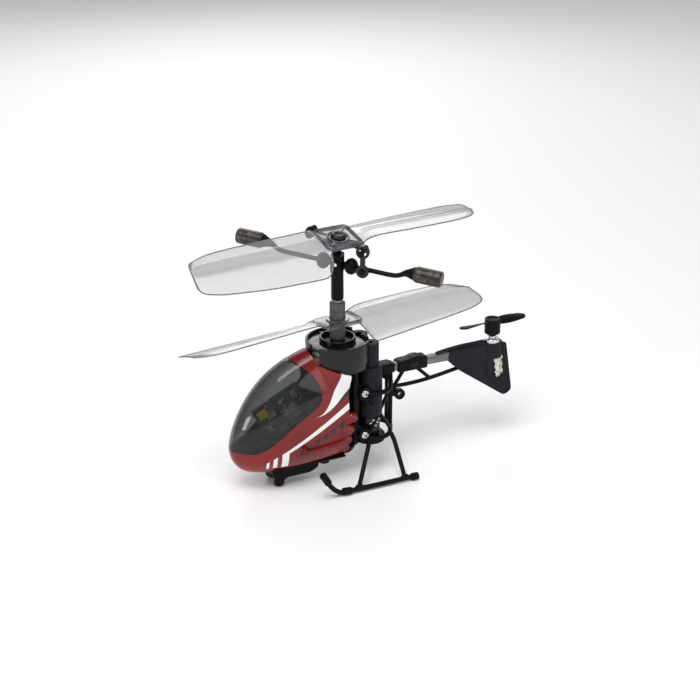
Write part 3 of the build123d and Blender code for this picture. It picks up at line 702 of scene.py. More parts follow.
FINISHES = {
    "red": red_shell,
    "smoke": smoke_screen,
    # Painted shade: the inner face of the red moulding gets a near-black red, far darker than the moulding,
    # as the shade inside the shell.
    "inside_shade": lambda: moulded("shell lining", (0.030, 0.005, 0.005), 0.55),
    # The last three numbers of each clear blade are the edges and the added cover of its painted fold shade
    # band.
    "upper clear": lambda: clear_blade("upper clear blade", UPPER_TURN, 1, 0.4, 3.4, 0.20),
    "lower clear": lambda: clear_blade("lower clear blade", 10.0, -1, -1.5, 6.0, 0.10),
    "rim": blade_rim_shade,
    "hub": smoked_hub,
    "weight": speckled_weight,
    "boom": boom_skin,
    "board": circuit_green,
    "chips": chip_case,
    "foil": crumpled_foil,
    "sleeve": soft_rubber,
    "black": lambda: moulded("satin black", heli().black, 0.36),
    "gloss": lambda: moulded("gloss black", (0.006, 0.006, 0.007), 0.20, 0.06, 0.1, 0.12, 0.25),
    "fin": lambda: moulded("fin black", (0.013, 0.014, 0.018), 0.42),
    "yellow": lambda: moulded("yellow sleeve", (0.72, 0.55, 0.04), 0.3),
    "nylon": lambda: moulded("natural nylon", (0.62, 0.60, 0.54), 0.4),
    "wire": lambda: moulded("wire skin", (0.02, 0.02, 0.022), 0.45),
    "lens": lambda: moulded("infrared lens", (0.03, 0.012, 0.03), 0.08, 0.02, 0.05, 0.8),
    "steel": lambda: metal("bright steel", (0.72, 0.72, 0.74), 0.22),
    "brass": lambda: metal("plain brass", (0.78, 0.60, 0.28), 0.26),
    "pouch": lambda: metal("battery foil", (0.66, 0.67, 0.70), 0.3, (1, 1, 1), 0.4),
    "floor": studio_floor,
}


# ---- look ------------------------------------------------------------------
class HelicopterLook(bpy.types.PropertyGroup):
    """Colours and sizes that the operators read."""

    red: FloatVectorProperty(name="Shell red", description="Base colour of the fuselage shell",
                             subtype="COLOR", size=3, min=0, max=1, default=(0.19, 0.002, 0.002))
    black: FloatVectorProperty(name="Frame black", description="Colour of the black mouldings",
                               subtype="COLOR", size=3, min=0, max=1, default=(0.004, 0.004, 0.0045))
    smoke: FloatProperty(name="Windscreen tint", description="How much of the light the windscreen stops",
                         subtype="FACTOR", min=0, max=1, default=0.40)
    clear: FloatProperty(name="Blade haze", description="How cloudy the clear blades are",
                         subtype="FACTOR", min=0, max=1, default=0.13)
    wall: FloatProperty(name="Shell wall", description="Thickness of the shell and the windscreen",
                        subtype="DISTANCE", unit="LENGTH", min=0.0002, max=0.0008, default=0.0005)
    rim: FloatProperty(name="Blade rim", description="Radius of the bead along the edge of a blade",
                       subtype="DISTANCE", unit="LENGTH", min=0.00005, max=0.0003, default=0.00013)
    steps: IntProperty(name="Mesh steps", description="Grid steps along a blade and round the shell",
                       min=24, max=200, default=110)
    key: FloatProperty(name="Key light", description="Power of the main soft light",
                       subtype="POWER", unit="POWER", min=0.0, max=10.0, default=0.62)


def heli():
    """The add-on's own sizes and colours."""
    return bpy.context.scene.helicopter


# ---- fuselage surfaces -----------------------------------------------------
TIP_X = 23.6
# x, top z, bottom z and half width of the fuselage at stations towards the nose
HULL = np.array([
    (-3.0, 29.4, 4.6, 4.9), (-0.6, 29.3, 4.3, 5.35), (4.0, 28.7, 3.9, 5.75), (8.0, 27.6, 3.7, 5.85),
    (12.0, 25.9, 3.6, 5.7), (15.5, 23.6, 3.7, 5.2), (18.5, 20.6, 4.1, 4.4), (20.8, 17.3, 4.7, 3.35),
    (22.4, 14.2, 5.9, 2.1), (23.3, 11.5, 7.6, 1.05), (TIP_X, 9.6, 9.6, 0.0),
])
HOUSING_CUT_R = 6.72
REAR_X = 0.2
SHOULDER = ((5.9, 26.1), (0.2, 24.1))    # (x, z) of the shell's edge below the housing
LOW_CORNER_Z = 6.0
BELLY_NOSE_X = 16.6


def nose_way(x):
    """Square root of the distance behind the tip, in which the hull is smooth at the nose."""
    return np.sqrt(np.maximum(TIP_X - np.asarray(x, float), 0.0))


def along(u, column):
    """Cubic Hermite curve through a column of HULL over the nose way u."""
    knots, values = nose_way(HULL[::-1, 0]), HULL[::-1, column]
    slopes = np.gradient(values, knots)
    u = np.clip(u, knots[0], knots[-1])
    i = np.clip(np.searchsorted(knots, u, "right") - 1, 0, len(knots) - 2)
    gap = knots[i + 1] - knots[i]
    t = (u - knots[i]) / gap
    return ((2 * t**3 - 3 * t**2 + 1) * values[i] + (t**3 - 2 * t**2 + t) * gap * slopes[i]
            + (3 * t**2 - 2 * t**3) * values[i + 1] + (t**3 - t**2) * gap * slopes[i + 1])


def eased_step(t):
    """0 below 0, 1 above 1 and smooth between."""
    t = np.clip(t, 0, 1)
    return t * t * (3 - 2 * t)


def hull_point(u, phi, out=0.0):
    """Left side of the hull: phi is -90 at the keel and 90 at the top, in degrees.

    y = half * cos(phi)^0.85 * (1 - 0.16 sin(phi)) and z = middle + height * sin(phi);
    the shoulders then flare smoothly to clear the gear housing.
    """
    phi = np.radians(phi)
    top, low, half = along(u, 1), along(u, 2), along(u, 3)
    rise = np.sin(phi)
    y = half * np.maximum(np.cos(phi), 0.0) ** 0.85 * (1 - 0.16 * rise)
    z = (top + low) / 2 + ((top - low) / 2 + out) * rise
    x = TIP_X - u**2 + 0 * y
    wanted = np.sqrt(np.maximum((HOUSING_CUT_R + 0.05) ** 2 - x**2, 0))
    y = y + np.maximum(wanted - y, 0) * eased_step((z - 18.5) / 6.0) * eased_step((8.5 - x) / 6.0)
    return np.stack([x, y + out * np.cos(phi), z], -1)


def phi_at(x, z):
    """Angle of the hull point with that x and z."""
    u = nose_way(x)
    top, low = along(u, 1), along(u, 2)
    return np.degrees(np.arcsin(np.clip((z - (top + low) / 2) / ((top - low) / 2), -1, 1)))


# Lower and rear edge of the windscreen in side view: share of the edge, x, z.
SCREEN_EDGE = np.array([
    (0.00, 10.9, 26.60), (0.08, 9.7, 26.30), (0.16, 8.2, 25.1), (0.24, 6.9, 23.5), (0.31, 6.1, 21.5),
    (0.37, 5.95, 19.8), (0.42, 6.6, 18.6), (0.47, 8.2, 17.4), (0.57, 12.0, 14.9), (0.67, 15.1, 12.4),
    (0.77, 18.1, 10.2), (0.83, 19.7, 9.5), (0.89, 21.2, 9.35), (0.95, 22.7, 9.45),
])


def screen_edge(s):
    """(u, phi) along the windscreen's edge, from the top centre line to the nose tip."""
    u = nose_way(SCREEN_EDGE[:, 1])
    phi = phi_at(SCREEN_EDGE[:, 1], SCREEN_EDGE[:, 2])
    phi[0] = 90.0
    knots = np.append(SCREEN_EDGE[:, 0], 1.0)
    u, phi = np.append(u, 0.0), np.append(phi, 0.0)
    out = []
    for values in (u, phi):
        slopes = np.gradient(values, knots)
        i = np.clip(np.searchsorted(knots, s, "right") - 1, 0, len(knots) - 2)
        gap = knots[i + 1] - knots[i]
        t = (s - knots[i]) / gap
        out.append((2 * t**3 - 3 * t**2 + 1) * values[i] + (t**3 - 2 * t**2 + t) * gap * slopes[i]
                   + (3 * t**2 - 2 * t**3) * values[i + 1] + (t**3 - t**2) * gap * slopes[i + 1])
    return np.maximum(out[0], 0.0), out[1]


def shell_edge(s):
    """(u, phi) along the shell's outer edge.

    Round the housing to share 0.15, back along the shoulder to 0.25, down the rear to
    0.5, forward along the belly to 0.8 and under the nose to the tip.
    """
    u, phi = np.zeros_like(s), np.zeros_like(s)
    (front_x, front_z), (rear_x, rear_z) = SHOULDER
    shoulder = phi_at(front_x, front_z)
    round_part = s <= 0.15
    phi[round_part] = 90 + (shoulder - 90) * s[round_part] / 0.15
    x = np.full(round_part.sum(), HOUSING_CUT_R)
    for _ in range(8):
        y = hull_point(nose_way(x), phi[round_part])[:, 1]
        x = 0.5 * x + 0.5 * np.sqrt(np.maximum(HOUSING_CUT_R**2 - y**2, front_x**2))
    u[round_part] = nose_way(x)
    back = (s > 0.15) & (s <= 0.25)
    first_x, share = x[-1], (s[back] - 0.15) / 0.1
    x = first_x + (rear_x - first_x) * share
    u[back], phi[back] = nose_way(x), phi_at(x, front_z + (rear_z - front_z) * share)
    down = (s > 0.25) & (s <= 0.5)
    top, low = phi_at(REAR_X, rear_z), phi_at(REAR_X, LOW_CORNER_Z)
    u[down] = nose_way(REAR_X)
    phi[down] = top + (low - top) * (s[down] - 0.25) / 0.25
    belly = (s > 0.5) & (s <= 0.8)
    t = (s[belly] - 0.5) / 0.3
    x = REAR_X + (BELLY_NOSE_X - REAR_X) * t
    drop = 90 + low
    u[belly], phi[belly] = nose_way(x), -90 + drop * np.maximum(1 - t**2.2, 0) ** 0.5
    under = s > 0.8
    u[under] = nose_way(BELLY_NOSE_X) * (1 - (s[under] - 0.8) / 0.2)
    phi[under] = -90
    return u, phi


def both_sides(points):
    """Surface over a grid on the left, and its mirror image."""
    left = grid(points)
    return left + left.mirrored()


def shell_surface():
    """Red shell: the strip between the windscreen's edge and the shell's own edge.

    A point is (1-t) * screen_edge(s) + t * shell_edge(s) in (u, phi).
    """
    s = np.unique(np.concatenate([np.linspace(0, 1, heli().steps * 2), [0.15, 0.25, 0.5, 0.8]]))
    t = np.linspace(0, 1, 40)[:, None]
    (u0, p0), (u1, p1) = screen_edge(s), shell_edge(s)
    return both_sides(hull_point((1 - t) * u0 + t * u1, (1 - t) * p0 + t * p1))


def screen_surface():
    """Windscreen: from its edge up to the centre line, bulged very slightly."""
    s = np.linspace(0, 1, heli().steps)
    t = np.linspace(0, 1, 36)[:, None]
    u0, p0 = screen_edge(s)
    u1 = u0[0] * (1 - s) ** 0.9
    bulge = 0.10 * np.sin(math.pi * np.minimum(t * 1.0, 0.5)) * np.sin(math.pi * s) ** 0.3
    points = hull_point((1 - t) * u0 + t * u1, (1 - t) * p0 + t * 90.0, bulge)
    return both_sides(points[::-1])


def feather(tip, rear, width, height):
    """Teardrop scoop laid on the hull from an (x, z) tip to its rear end.

    Half width is width * t^0.75 up to a rounded rear end; rings are ellipses.
    """
    t = np.linspace(0, 1, 34)
    x = tip[0] + (rear[0] - tip[0]) * t
    z = tip[1] + (rear[1] - tip[1]) * (t + 0.22 * t * (1 - t))
    spine = hull_point(nose_way(x), phi_at(x, z))
    run = np.gradient(spine, axis=0)
    run /= np.linalg.norm(run, axis=1)[:, None]
    outward = np.cross(run, np.cross([0, 1.0, 0.15], run))
    outward /= np.linalg.norm(outward, axis=1)[:, None]
    side = np.cross(run, outward)
    end = np.sqrt(np.clip(1 - np.clip((t - 0.84) / 0.16, 0, 1) ** 2, 0.0004, 1))
    half = (width * np.maximum(t, 0.004) ** 0.75 * end)[:, None, None]
    lift = (height * (np.maximum(t, 0.004) ** 1.15) * end + 0.02)[:, None, None]
    a = np.linspace(0, 2 * math.pi, 28, endpoint=False)[None, :, None]
    ring = side[:, None] * np.cos(a) * half + outward[:, None] * np.sin(a) * lift
    return capped(spine[:, None] + ring)


# Scoops on each side: (x, z) of the tip and of the rear end, half width, lift.
FEATHERS = (
    ((6.0, 12.0), (-1.9, 14.3), 1.35, 1.25),
    ((8.6, 9.2), (-1.3, 11.7), 1.45, 1.20),
    ((8.0, 7.4), (-1.0, 9.3), 1.30, 1.05),
    ((6.0, 6.1), (-0.7, 7.2), 1.05, 0.80),
)


def build_fuselage():
    """Shell from hull_point, with scoops, bead, seam, belly, foot, switch and charging socket."""
    # The shell's inner face carries the painted inside shade; its outer face and rim carry the red.
    shell = make("red shell", shell_surface(), finish_of("inside_shade"), "airframe",
                 ("fuselage_shell_left", "fuselage_shell_right"), 60, [finish_of("red")])
    walled(shell, heli().wall / MM, skin=1)
    scoops = joined([feather(*row) for row in FEATHERS])
    make("shell scoops", scoops + scoops.mirrored(), finish_of("red"), "airframe", (), 60)
    s = np.linspace(0.0, 1.0, 120)
    u, phi = screen_edge(s)
    edge = hull_point(u, phi, 0.02)
    loop = np.vstack([edge[:-1], (edge * (1, -1, 1))[::-1]])
    make("windscreen bead", sweep(loop, 0.13, 10, (0.3, 0.2, 1)), finish_of("gloss"), "airframe", ())
    seam = np.array([hull_point(w, -90.0) for w in np.linspace(nose_way(BELLY_NOSE_X), 0.25, 40)])
    make("shell seam", sweep(seam, 0.05, 8, (0, 1, 0)), finish_of("gloss"), "airframe", ())
    dots = []
    for x, z in ((0.95, 22.6), (6.3, 6.4)):
        centre = hull_point(nose_way(x), phi_at(x, z))
        dots.append(lathe([(0, -0.2), (0.27, -0.2), (0.27, 0.06), (0, 0.06)], centre, (0, 1, 0.1), 0.05, 24))
    dots = joined(dots)
    make("shell pips", dots + dots.mirrored(), finish_of("gloss"), "airframe", ())
    stations = np.linspace(-0.5, 17.4, 60)
    u = nose_way(stations)[:, None]
    low = np.array([phi_at(x, 5.5 if x < 8 else 5.5 - (x - 8) * 0.2) for x in stations])[:, None]
    v = np.linspace(0, 1, 24)
    belly = hull_point(u, low + (-90 - low) * v, -0.10)
    tray = both_sides(belly)
    stern = ball((-0.5, 0, 6.8), (3.0, 4.4, 2.85), 40)
    keep = stern.points[:, 2] < 6.9
    stern.points[~keep, 2] = 6.9
    deck = brick((0.0, -4.2, 4.5), (16.0, 4.2, 4.95), 0.2)
    hump = brick((3.4, -1.45, 4.6), (14.6, 1.45, 6.15), 0.2)
    piece = make("belly tray", tray, finish_of("black"), "airframe", ("belly_tray",), 50)
    walled(piece, 0.5)
    make("belly stern", stern + deck + hump, finish_of("black"), "airframe", (), 50)
    outline = rounded([(5.4, 3.85), (5.9, 2.7), (7.6, 1.95), (12.6, 1.9), (13.6, 1.25), (15.2, 1.35),
                       (16.0, 3.9)],
                      0.5, 5, closed=True)
    rail = slab(outline, 0.75, 2.9, 0.25, UPRIGHT)
    foot = joined([rail.mirrored(), rail, brick((12.4, -1.2, 1.5), (15.6, 1.2, 3.8), 0.3),
                   brick((5.9, -1.2, 2.2), (8.6, 1.2, 3.8), 0.25),
                   brick((7.6, -2.0, 3.05), (13.4, 2.0, 3.8), 0.1),
                   ball((14.3, 2.2, 0.95), (1.15, 0.95, 0.93)), ball((14.3, -2.2, 0.95), (1.15, 0.95, 0.93))])
    make("front foot", foot, finish_of("black"), "airframe", ("front_foot",))
    knob = brick((9.5, -0.62, 2.0), (10.7, 0.62, 2.9), 0.1)
    ribs = [brick((9.8 + i * 0.22, -0.45, 1.5), (9.92 + i * 0.22, 0.45, 2.1), 0.04) for i in range(3)]
    make("switch slider", joined([knob, *ribs]), finish_of("black"), "switch", ("switch_slider",))
    low, high = box_of("charge_socket")
    ring = [(0.62, low[2]), (1.18, low[2]), (1.18, high[2]), (0.62, high[2])]
    make("charging socket", lathe(ring, (3.2, 0, 0), closed=True, round_by=0.1), finish_of("gloss"),
         "airframe",
         ("charge_socket",))


def build_windscreen():
    """The part of the hull_point surface that lies inside screen_edge."""
    piece = make("windscreen", screen_surface(), finish_of("smoke"), "airframe", ("canopy",),
                 60)
    walled(piece, heli().wall / MM)


# ---- inside ----------------------------------------------------------------
BOARD_AT = np.array([12.6, 0.6, 15.9])
BOARD_TURN = spin((0, 1, 0), 28)


def on_board(x, z, size, lift=0.35):
    """A part of size (x, y, z) lying on the board's left face at (x, z)."""
    half = np.array(size) / 2
    shape = brick((x - half[0], lift, z - half[2]), (x + half[0], lift + size[1], z + half[2]), 0.06)
    return shape.turned(BOARD_TURN).shifted(BOARD_AT)


def build_inside():
    """Battery, board and its parts: bricks and lathed cans on a tilted plane."""
    board = brick((-5.45, -0.35, -4.25), (5.45, 0.35, 4.25), 0.08).turned(BOARD_TURN).shifted(BOARD_AT)
    make("circuit board", board, finish_of("board"), "airframe", ("circuit_board",))
    parts = [on_board(-1.6, -0.6, (2.9, 0.95, 2.9)), on_board(2.4, 1.5, (2.0, 0.75, 1.3)),
             on_board(-3.7, 2.5, (1.1, 0.65, 1.7)), on_board(1.3, -2.9, (1.7, 0.55, 0.9)),
             on_board(-0.6, 2.7, (0.9, 0.55, 0.8)), on_board(3.9, -1.2, (0.8, 0.55, 1.5))]
    make("board chips", joined(parts), finish_of("chips"), "airframe", ("board_chips",))
    bright = []
    for i in range(26):
        # A scatter from a sine and a cosine of the count, over the free parts of the board.
        x = 4.7 * math.sin(i * 2.4 + 0.6) * ((i % 7) / 6.5 + 0.1)
        z = 3.7 * math.cos(i * 1.9) * ((i % 5) / 5 + 0.2)
        if abs(x + 1.6) < 1.9 and abs(z + 0.6) < 1.9:
            continue
        bright.append(on_board(x, z, (0.55, 0.32, 0.28) if i % 2 else (0.28, 0.3, 0.5)))
    pins = [on_board(-1.6 + i * 0.42, -2.2, (0.16, 0.25, 0.5)) for i in range(-3, 4)]
    pins += [on_board(-1.6 + i * 0.42, 1.0, (0.16, 0.25, 0.5)) for i in range(-3, 4)]
    make("board solder", joined(bright + pins), finish_of("steel"), "airframe", ())
    low, high = box_of("capacitor")
    centre, reach = (low + high) / 2, 1.0
    axis = BOARD_TURN @ np.array([1.0, 0, 0])
    can = lathe([(0, -reach), (0.93, -reach), (0.93, -0.8), (0.87, -0.7), (0.93, -0.6), (0.93, reach),
                 (0, reach)],
                centre, axis, 0.12, 32)
    make("capacitor", can, finish_of("yellow"), "airframe", ("capacitor",))
    eye = brick((-5.1, 0.35, -3.7), (-3.5, 1.5, -2.1), 0.12) + ball((-4.3, 1.55, -2.9), (0.7, 0.7, 0.7))
    make("infrared eye", eye.turned(BOARD_TURN).shifted(BOARD_AT), finish_of("lens"), "airframe",
         ("infrared_eye",))
    low, high = box_of("battery")
    make("battery", brick(low, high, 0.55), finish_of("pouch"), "airframe", ("battery",))
    leads = []
    for k, y in enumerate((-0.9, -0.2)):
        leads.append(sweep(smooth_path([(14.6, y, 9.3), (16.6, y + 0.3, 10.6), (16.4, 0.9, 12.6),
                                        (14.4 - k, 1.15, 13.4)]),
                           0.22, 12, (0, 1, 0)))
    make("battery leads", joined(leads), finish_of("wire"), "airframe", ())


# ---- drive -----------------------------------------------------------------
MOTOR_AT = place_of("pinion_left_spin")
MOTOR_X, MOTOR_Y = MOTOR_AT[0], MOTOR_AT[1]
HOUSING_R, HOUSING_LOW, HOUSING_TOP = 6.6, 24.2, 29.7
GUARD_R, GUARD_WALL = 1.75, 0.2


def arc(radius, start, end, count=60, centre=(0, 0)):
    """Points on a circle between two angles in degrees."""
    a = np.radians(np.linspace(start, end, count))
    return np.column_stack([centre[0] + radius * np.cos(a), centre[1] + radius * np.sin(a)])


def arc_wall(outer, inner, start, end, low, high, centre=(0, 0), bevel=0.1):
    """Curved wall between two radii, two angles and two heights."""
    line = np.vstack([arc(outer, start, end, 90, centre), arc(inner, end, start, 90, centre)])
    return slab(line, low, high, bevel)


def build_drive():
    """Gear housing, bushes and motors: lathed rings and cans with bricks for the ribs."""
    aside = math.degrees(math.asin(GUARD_R / math.hypot(MOTOR_X, MOTOR_Y)))
    line = math.degrees(math.atan2(MOTOR_Y, MOTOR_X))
    opening = line - aside + 1.0
    window = (8.0, 32.0)
    wall = [
        arc_wall(HOUSING_R, HOUSING_R - 0.5, window[1], opening, HOUSING_LOW, HOUSING_TOP),
        arc_wall(HOUSING_R, HOUSING_R - 0.5, -opening, window[0], HOUSING_LOW, HOUSING_TOP),
        arc_wall(HOUSING_R, HOUSING_R - 0.5, window[0] - 1, window[1] + 1, HOUSING_LOW, 25.5),
        arc_wall(HOUSING_R, HOUSING_R - 0.5, line + aside - 1, 360 - line - aside + 1, HOUSING_LOW, 29.2),
        arc_wall(HOUSING_R - 0.25, 3.45, -opening - 4, opening + 4, 28.5, 29.15),
        lathe([(2.2, 24.2), (6.55, 24.2), (6.55, 24.9), (2.2, 24.9)], closed=True, round_by=0.1, segments=96),
        lathe([(3.2, 28.5), (3.7, 28.5), (3.7, 30.2), (3.2, 30.2)], closed=True, round_by=0.22, segments=96),
    ]
    for angle in (75, -75):
        rib = brick((3.6, -0.35, 28.6), (6.3, 0.35, 29.3), 0.08)
        wall.append(rib.turned(spin((0, 0, 1), angle)))
    make("gear housing", joined(wall), finish_of("gloss"), "airframe", ("gear_housing",))
    bush = [(1.5, 28.65), (3.25, 28.65), (3.25, 29.3), (1.5, 29.3)]
    make("upper bush", lathe(bush, closed=True, round_by=0.1), finish_of("black"), "airframe",
         ("upper_bush",))
    low, high = box_of("lower_bush")
    bush = [(0.56, low[2]), (2.18, low[2]), (2.18, high[2]), (0.56, high[2])]
    make("lower bush", lathe(bush, closed=True, round_by=0.1), finish_of("brass"), "airframe",
         ("lower_bush",))
    for side, name in ((1, "left"), (-1, "right")):
        at = (MOTOR_X, side * MOTOR_Y)
        centre = (*at, 0)
        can = lathe([(0, 8.2), (1.0, 8.2), (1.0, 8.5), (2.05, 8.5), (2.05, 12.4), (1.95, 12.5), (2.05, 12.6),
                     (2.05, 21.4), (0.6, 21.4), (0.6, 21.8), (0.38, 21.8), (0.38, 28.2), (0, 28.2)], centre,
                    round_by=0.12, segments=64)
        make(f"motor {name}", can, finish_of("gloss"), "airframe", (f"motor_{name}",))
        inward = math.degrees(math.atan2(-at[1], -at[0]))
        gap = 63.5
        sleeve = lathe([(1.6, 12.8), (2.5, 12.8), (2.5, 23.7), (1.6, 23.7)], centre, closed=True,
                       round_by=0.18,
                       segments=64)
        lower = lathe([(GUARD_R - GUARD_WALL, 21.4), (GUARD_R, 21.4), (GUARD_R, 24.9),
                       (GUARD_R - GUARD_WALL, 24.9)],
                      centre, closed=True, round_by=0.05)
        upper = arc_wall(GUARD_R, GUARD_R - GUARD_WALL, inward + gap, inward + 360 - gap, 24.6, 28.65, at,
                         0.05)
        hole = arc(0.5, inward + 360 - gap, inward + gap, 60, at)
        cap = slab(np.vstack([arc(GUARD_R, inward + gap, inward + 360 - gap, 60, at), hole]), 28.35, 28.68,
                   0.06)
        ridge = lathe([(2.45, 17.1), (2.56, 17.2), (2.56, 17.35), (2.45, 17.45)], centre, closed=True,
                      round_by=0.04,
                      segments=64)
        make(f"motor sleeve {name}", joined([sleeve, lower, upper, cap, ridge]), finish_of("fin"), "airframe",
             (f"motor_guard_{name}",))
        scraps = []
        for i in range(9):
            angle = inward + side * (95 + i * 13)
            z = 11.3 + 0.75 * math.sin(i * 2.1)
            spot = np.array([*(arc(2.12, angle, angle, 1, at)[0]), z])
            shape = ball((0, 0, 0), (0.10, 0.34 + 0.12 * math.sin(i * 3.3), 0.22), 10)
            tilt = spin((0, 0, 1), angle) @ spin((1, 0, 0), 35 * math.sin(i * 1.7))
            scraps.append(shape.turned(tilt).shifted(spot))
        make(f"motor solder {name}", joined(scraps), finish_of("foil"), "airframe", ())


def build_gears():
    """The CAD gears, standoff and outer shaft keep their packed meshes and get their finishes."""
    for node, finish in (("upper_gear", "nylon"), ("lower_gear", "nylon"), ("pinion_left", "brass"),
                         ("pinion_right", "brass"), ("board_standoff", "black"), ("outer_shaft", "steel")):
        paint_node(node, finish)


def paint_node(node, finish):
    """Gives every material slot of a CAD node one finish."""
    piece = frame["nodes"][node]
    if not piece.material_slots:
        piece.data.materials.append(finish_of(finish))
    for item in piece.material_slots:
        item.material = finish_of(finish)


# ---- cage ------------------------------------------------------------------
BOSS_X, SCREW_Z = -3.9, (9.1, 18.5)
LUG = np.array([-14.2, 0.0, 14.4])


def rod(points, radius, sides=14):
    """Round bar through the points with eased corners."""
    line = rounded([np.array(p, float) for p in points], 1.2, 6)
    return sweep(line, radius, sides, (0.13, 0.21, 1))


def ring_about(centre, outer, inner, half, axis=(0, 1, 0)):
    """Short tube centred on a point."""
    profile = [(inner, -half), (outer, -half), (outer, half), (inner, half)]
    return lathe(profile, centre, axis, 0.12, 48, closed=True)


def cage_half(side):
    """Front wall, bosses, ring bars, cross braces and rear post of one side."""
    parts = [brick((-2.7, 0.02, 8.0), (-1.5, 4.55, HOUSING_LOW), 0.2),
             brick((-2.7, 2.4, 10.0), (1.2, 3.35, 20.0), 0.2)]
    for z in SCREW_Z:
        parts.append(brick((BOSS_X, 3.0, z - 1.1), (-2.2, 4.45, z + 1.1), 0.15))
        parts.append(lathe([(0, 3.0), (1.45, 3.0), (1.45, 5.3), (0.9, 5.3), (0.9, 5.0), (0, 5.0)],
                           (BOSS_X, 0, z),
                           (0, 1, 0), 0.16, 48))
    parts.append(rod([(BOSS_X, 4.9, 18.3), (-6.4, 5.75, 18.3), (-9.6, 4.8, 18.3), (-11.7, 1.0, 18.3)], 0.5))
    parts.append(rod([(BOSS_X, 4.9, 8.7), (-6.6, 5.75, 8.0), (-9.8, 4.6, 8.0), (-11.7, 1.0, 8.0)], 0.5))
    parts.append(rod([(-4.6, 5.35, 17.6), (-10.9, 2.7, 8.2)], 0.38))
    parts.append(rod([(-4.6, 5.35, 9.4), (-10.9, 2.7, 18.0)], 0.38))
    parts.append(brick((-12.1, 0.02, 7.5), (-11.3, 1.3, 19.9), 0.2))
    shape = joined(parts)
    return shape if side > 0 else shape.mirrored()


def build_cage():
    """Frame halves swept along smooth paths, with lathed screws and the motor seat."""
    lug = joined([
        ring_about(LUG, 1.15, 0.52, 0.6),
        brick((-13.4, -0.58, 14.3), (-11.9, 0.58, 15.4), 0.15),
        rod([(-11.9, 0, 16.9), (-13.3, 0, 15.6)], 0.45),
    ])
    make("cage left", cage_half(1) + lug, finish_of("black"), "airframe", ("frame_left",))
    make("cage right", cage_half(-1), finish_of("black"), "airframe", ("frame_right",))
    screws = []
    for z in SCREW_Z:
        head = lathe([(0, 4.6), (0.45, 4.6), (0.45, 5.02), (0.85, 5.02), (0.85, 5.22), (0.6, 5.45), (0, 5.5)],
                     (BOSS_X, 0, z), (0, 1, 0), 0.08, 40)
        # Painted shade: gloss black crosses on the steel heads stand for the shade in their cross recesses.
        arms = [brick((-0.55, 5.40, -0.1), (0.55, 5.52, 0.1), 0.03),
                brick((-0.1, 5.40, -0.55), (0.1, 5.52, 0.55), 0.03)]
        screws.append((head, joined(arms).turned(spin((0, 1, 0), 25 + z * 3)).shifted((BOSS_X, 0, z))))
    heads = joined([head for head, _ in screws])
    slots = joined([arms for _, arms in screws])
    make("frame screws", heads + heads.mirrored(), finish_of("steel"), "airframe", ("frame_screws",))
    make("screw recess shades", slots + slots.mirrored(), finish_of("gloss"), "airframe", ())
    around = np.vstack([arc(3.15, 20, 180, 30, (MOTOR_X, MOTOR_Y)),
                        arc(3.15, 180, 340, 30, (MOTOR_X, -MOTOR_Y))])
    seat = slab(np.vstack([[(-1.6, -4.6), (-1.6, 4.6)], around]), 6.9, 8.15, 0.2)
    make("motor seat", seat, finish_of("black"), "airframe", ("motor_seat",))
    skirt = lathe([(1.9, 6.5), (2.6, 6.6), (2.6, 7.1), (1.9, 7.1)], (MOTOR_X, 0, 0), closed=True,
                  round_by=0.15)
    make("seat skirt", skirt, finish_of("black"), "airframe", ())


# ---- skids -----------------------------------------------------------------
SKID_Y, SKID_Z = 11.5, 0.8


def skid(side):
    """Runner with an upswept toe, and two legs that splay from the cage."""
    y, z = SKID_Y, SKID_Z
    toe = [(-12.2, y, z), (3.0, y, z), (5.2, y, z + 0.4), (6.8, y, z + 1.9), (8.3, y, z + 4.4)]
    runner = sweep(smooth_path(toe, 10), 0.52, 18, (0, 1, 0))
    front = rod([(-5.0, 4.9, 7.7), (-3.9, 6.3, 6.4), (0.6, y, z)], 0.48)
    rear = rod([(-10.4, 4.0, 7.7), (-10.5, 5.3, 6.8), (-10.0, y, z)], 0.48)
    web = ball((0.45, y, z + 0.35), (1.0, 0.55, 0.7)) + ball((-9.95, y, z + 0.35), (0.95, 0.55, 0.7))
    shape = joined([runner, front, rear, web])
    return shape if side > 0 else shape.mirrored()


def build_skids():
    """Runners and legs swept along smooth paths, with lathed sleeves."""
    make("skid left", skid(1), finish_of("black"), "airframe", ("skid_left",))
    make("skid right", skid(-1), finish_of("black"), "airframe", ("skid_right",))

    def sleeve(start, end, radius):
        start, end = np.array(start, float), np.array(end, float)
        length = np.linalg.norm(end - start)
        profile = [(0, 0), (radius * 0.9, 0), (radius, 0.25), (radius, length - 0.25), (radius * 0.9, length),
                   (0, length)]
        return lathe(profile, start, end - start, 0.14, 32)

    y, z = SKID_Y, SKID_Z
    parts = [sleeve((2.2, y, z), (4.2, y, z + 0.15), 0.78), sleeve((-13.0, y, z), (-11.4, y, z), 0.79),
             sleeve((7.25, y, z + 2.65), (8.65, y, z + 5.0), 0.78)]
    shape = joined(parts)
    make("skid sleeves", shape + shape.mirrored(), finish_of("black"), "airframe", ("skid_sleeves",))


# ---- tail ------------------------------------------------------------------
BOOM_Z, BOOM_HALF = 21.05, 0.85
TAIL_X = place_of("tail_rotor_spin")[0]
TAIL_TURN = 4.0
def side_plate(outline, half, bevel=0.15):
    """Plate in the XZ plane, from -half to half across; outline is (x, z)."""
    return slab(outline, -half, half, bevel, UPRIGHT)


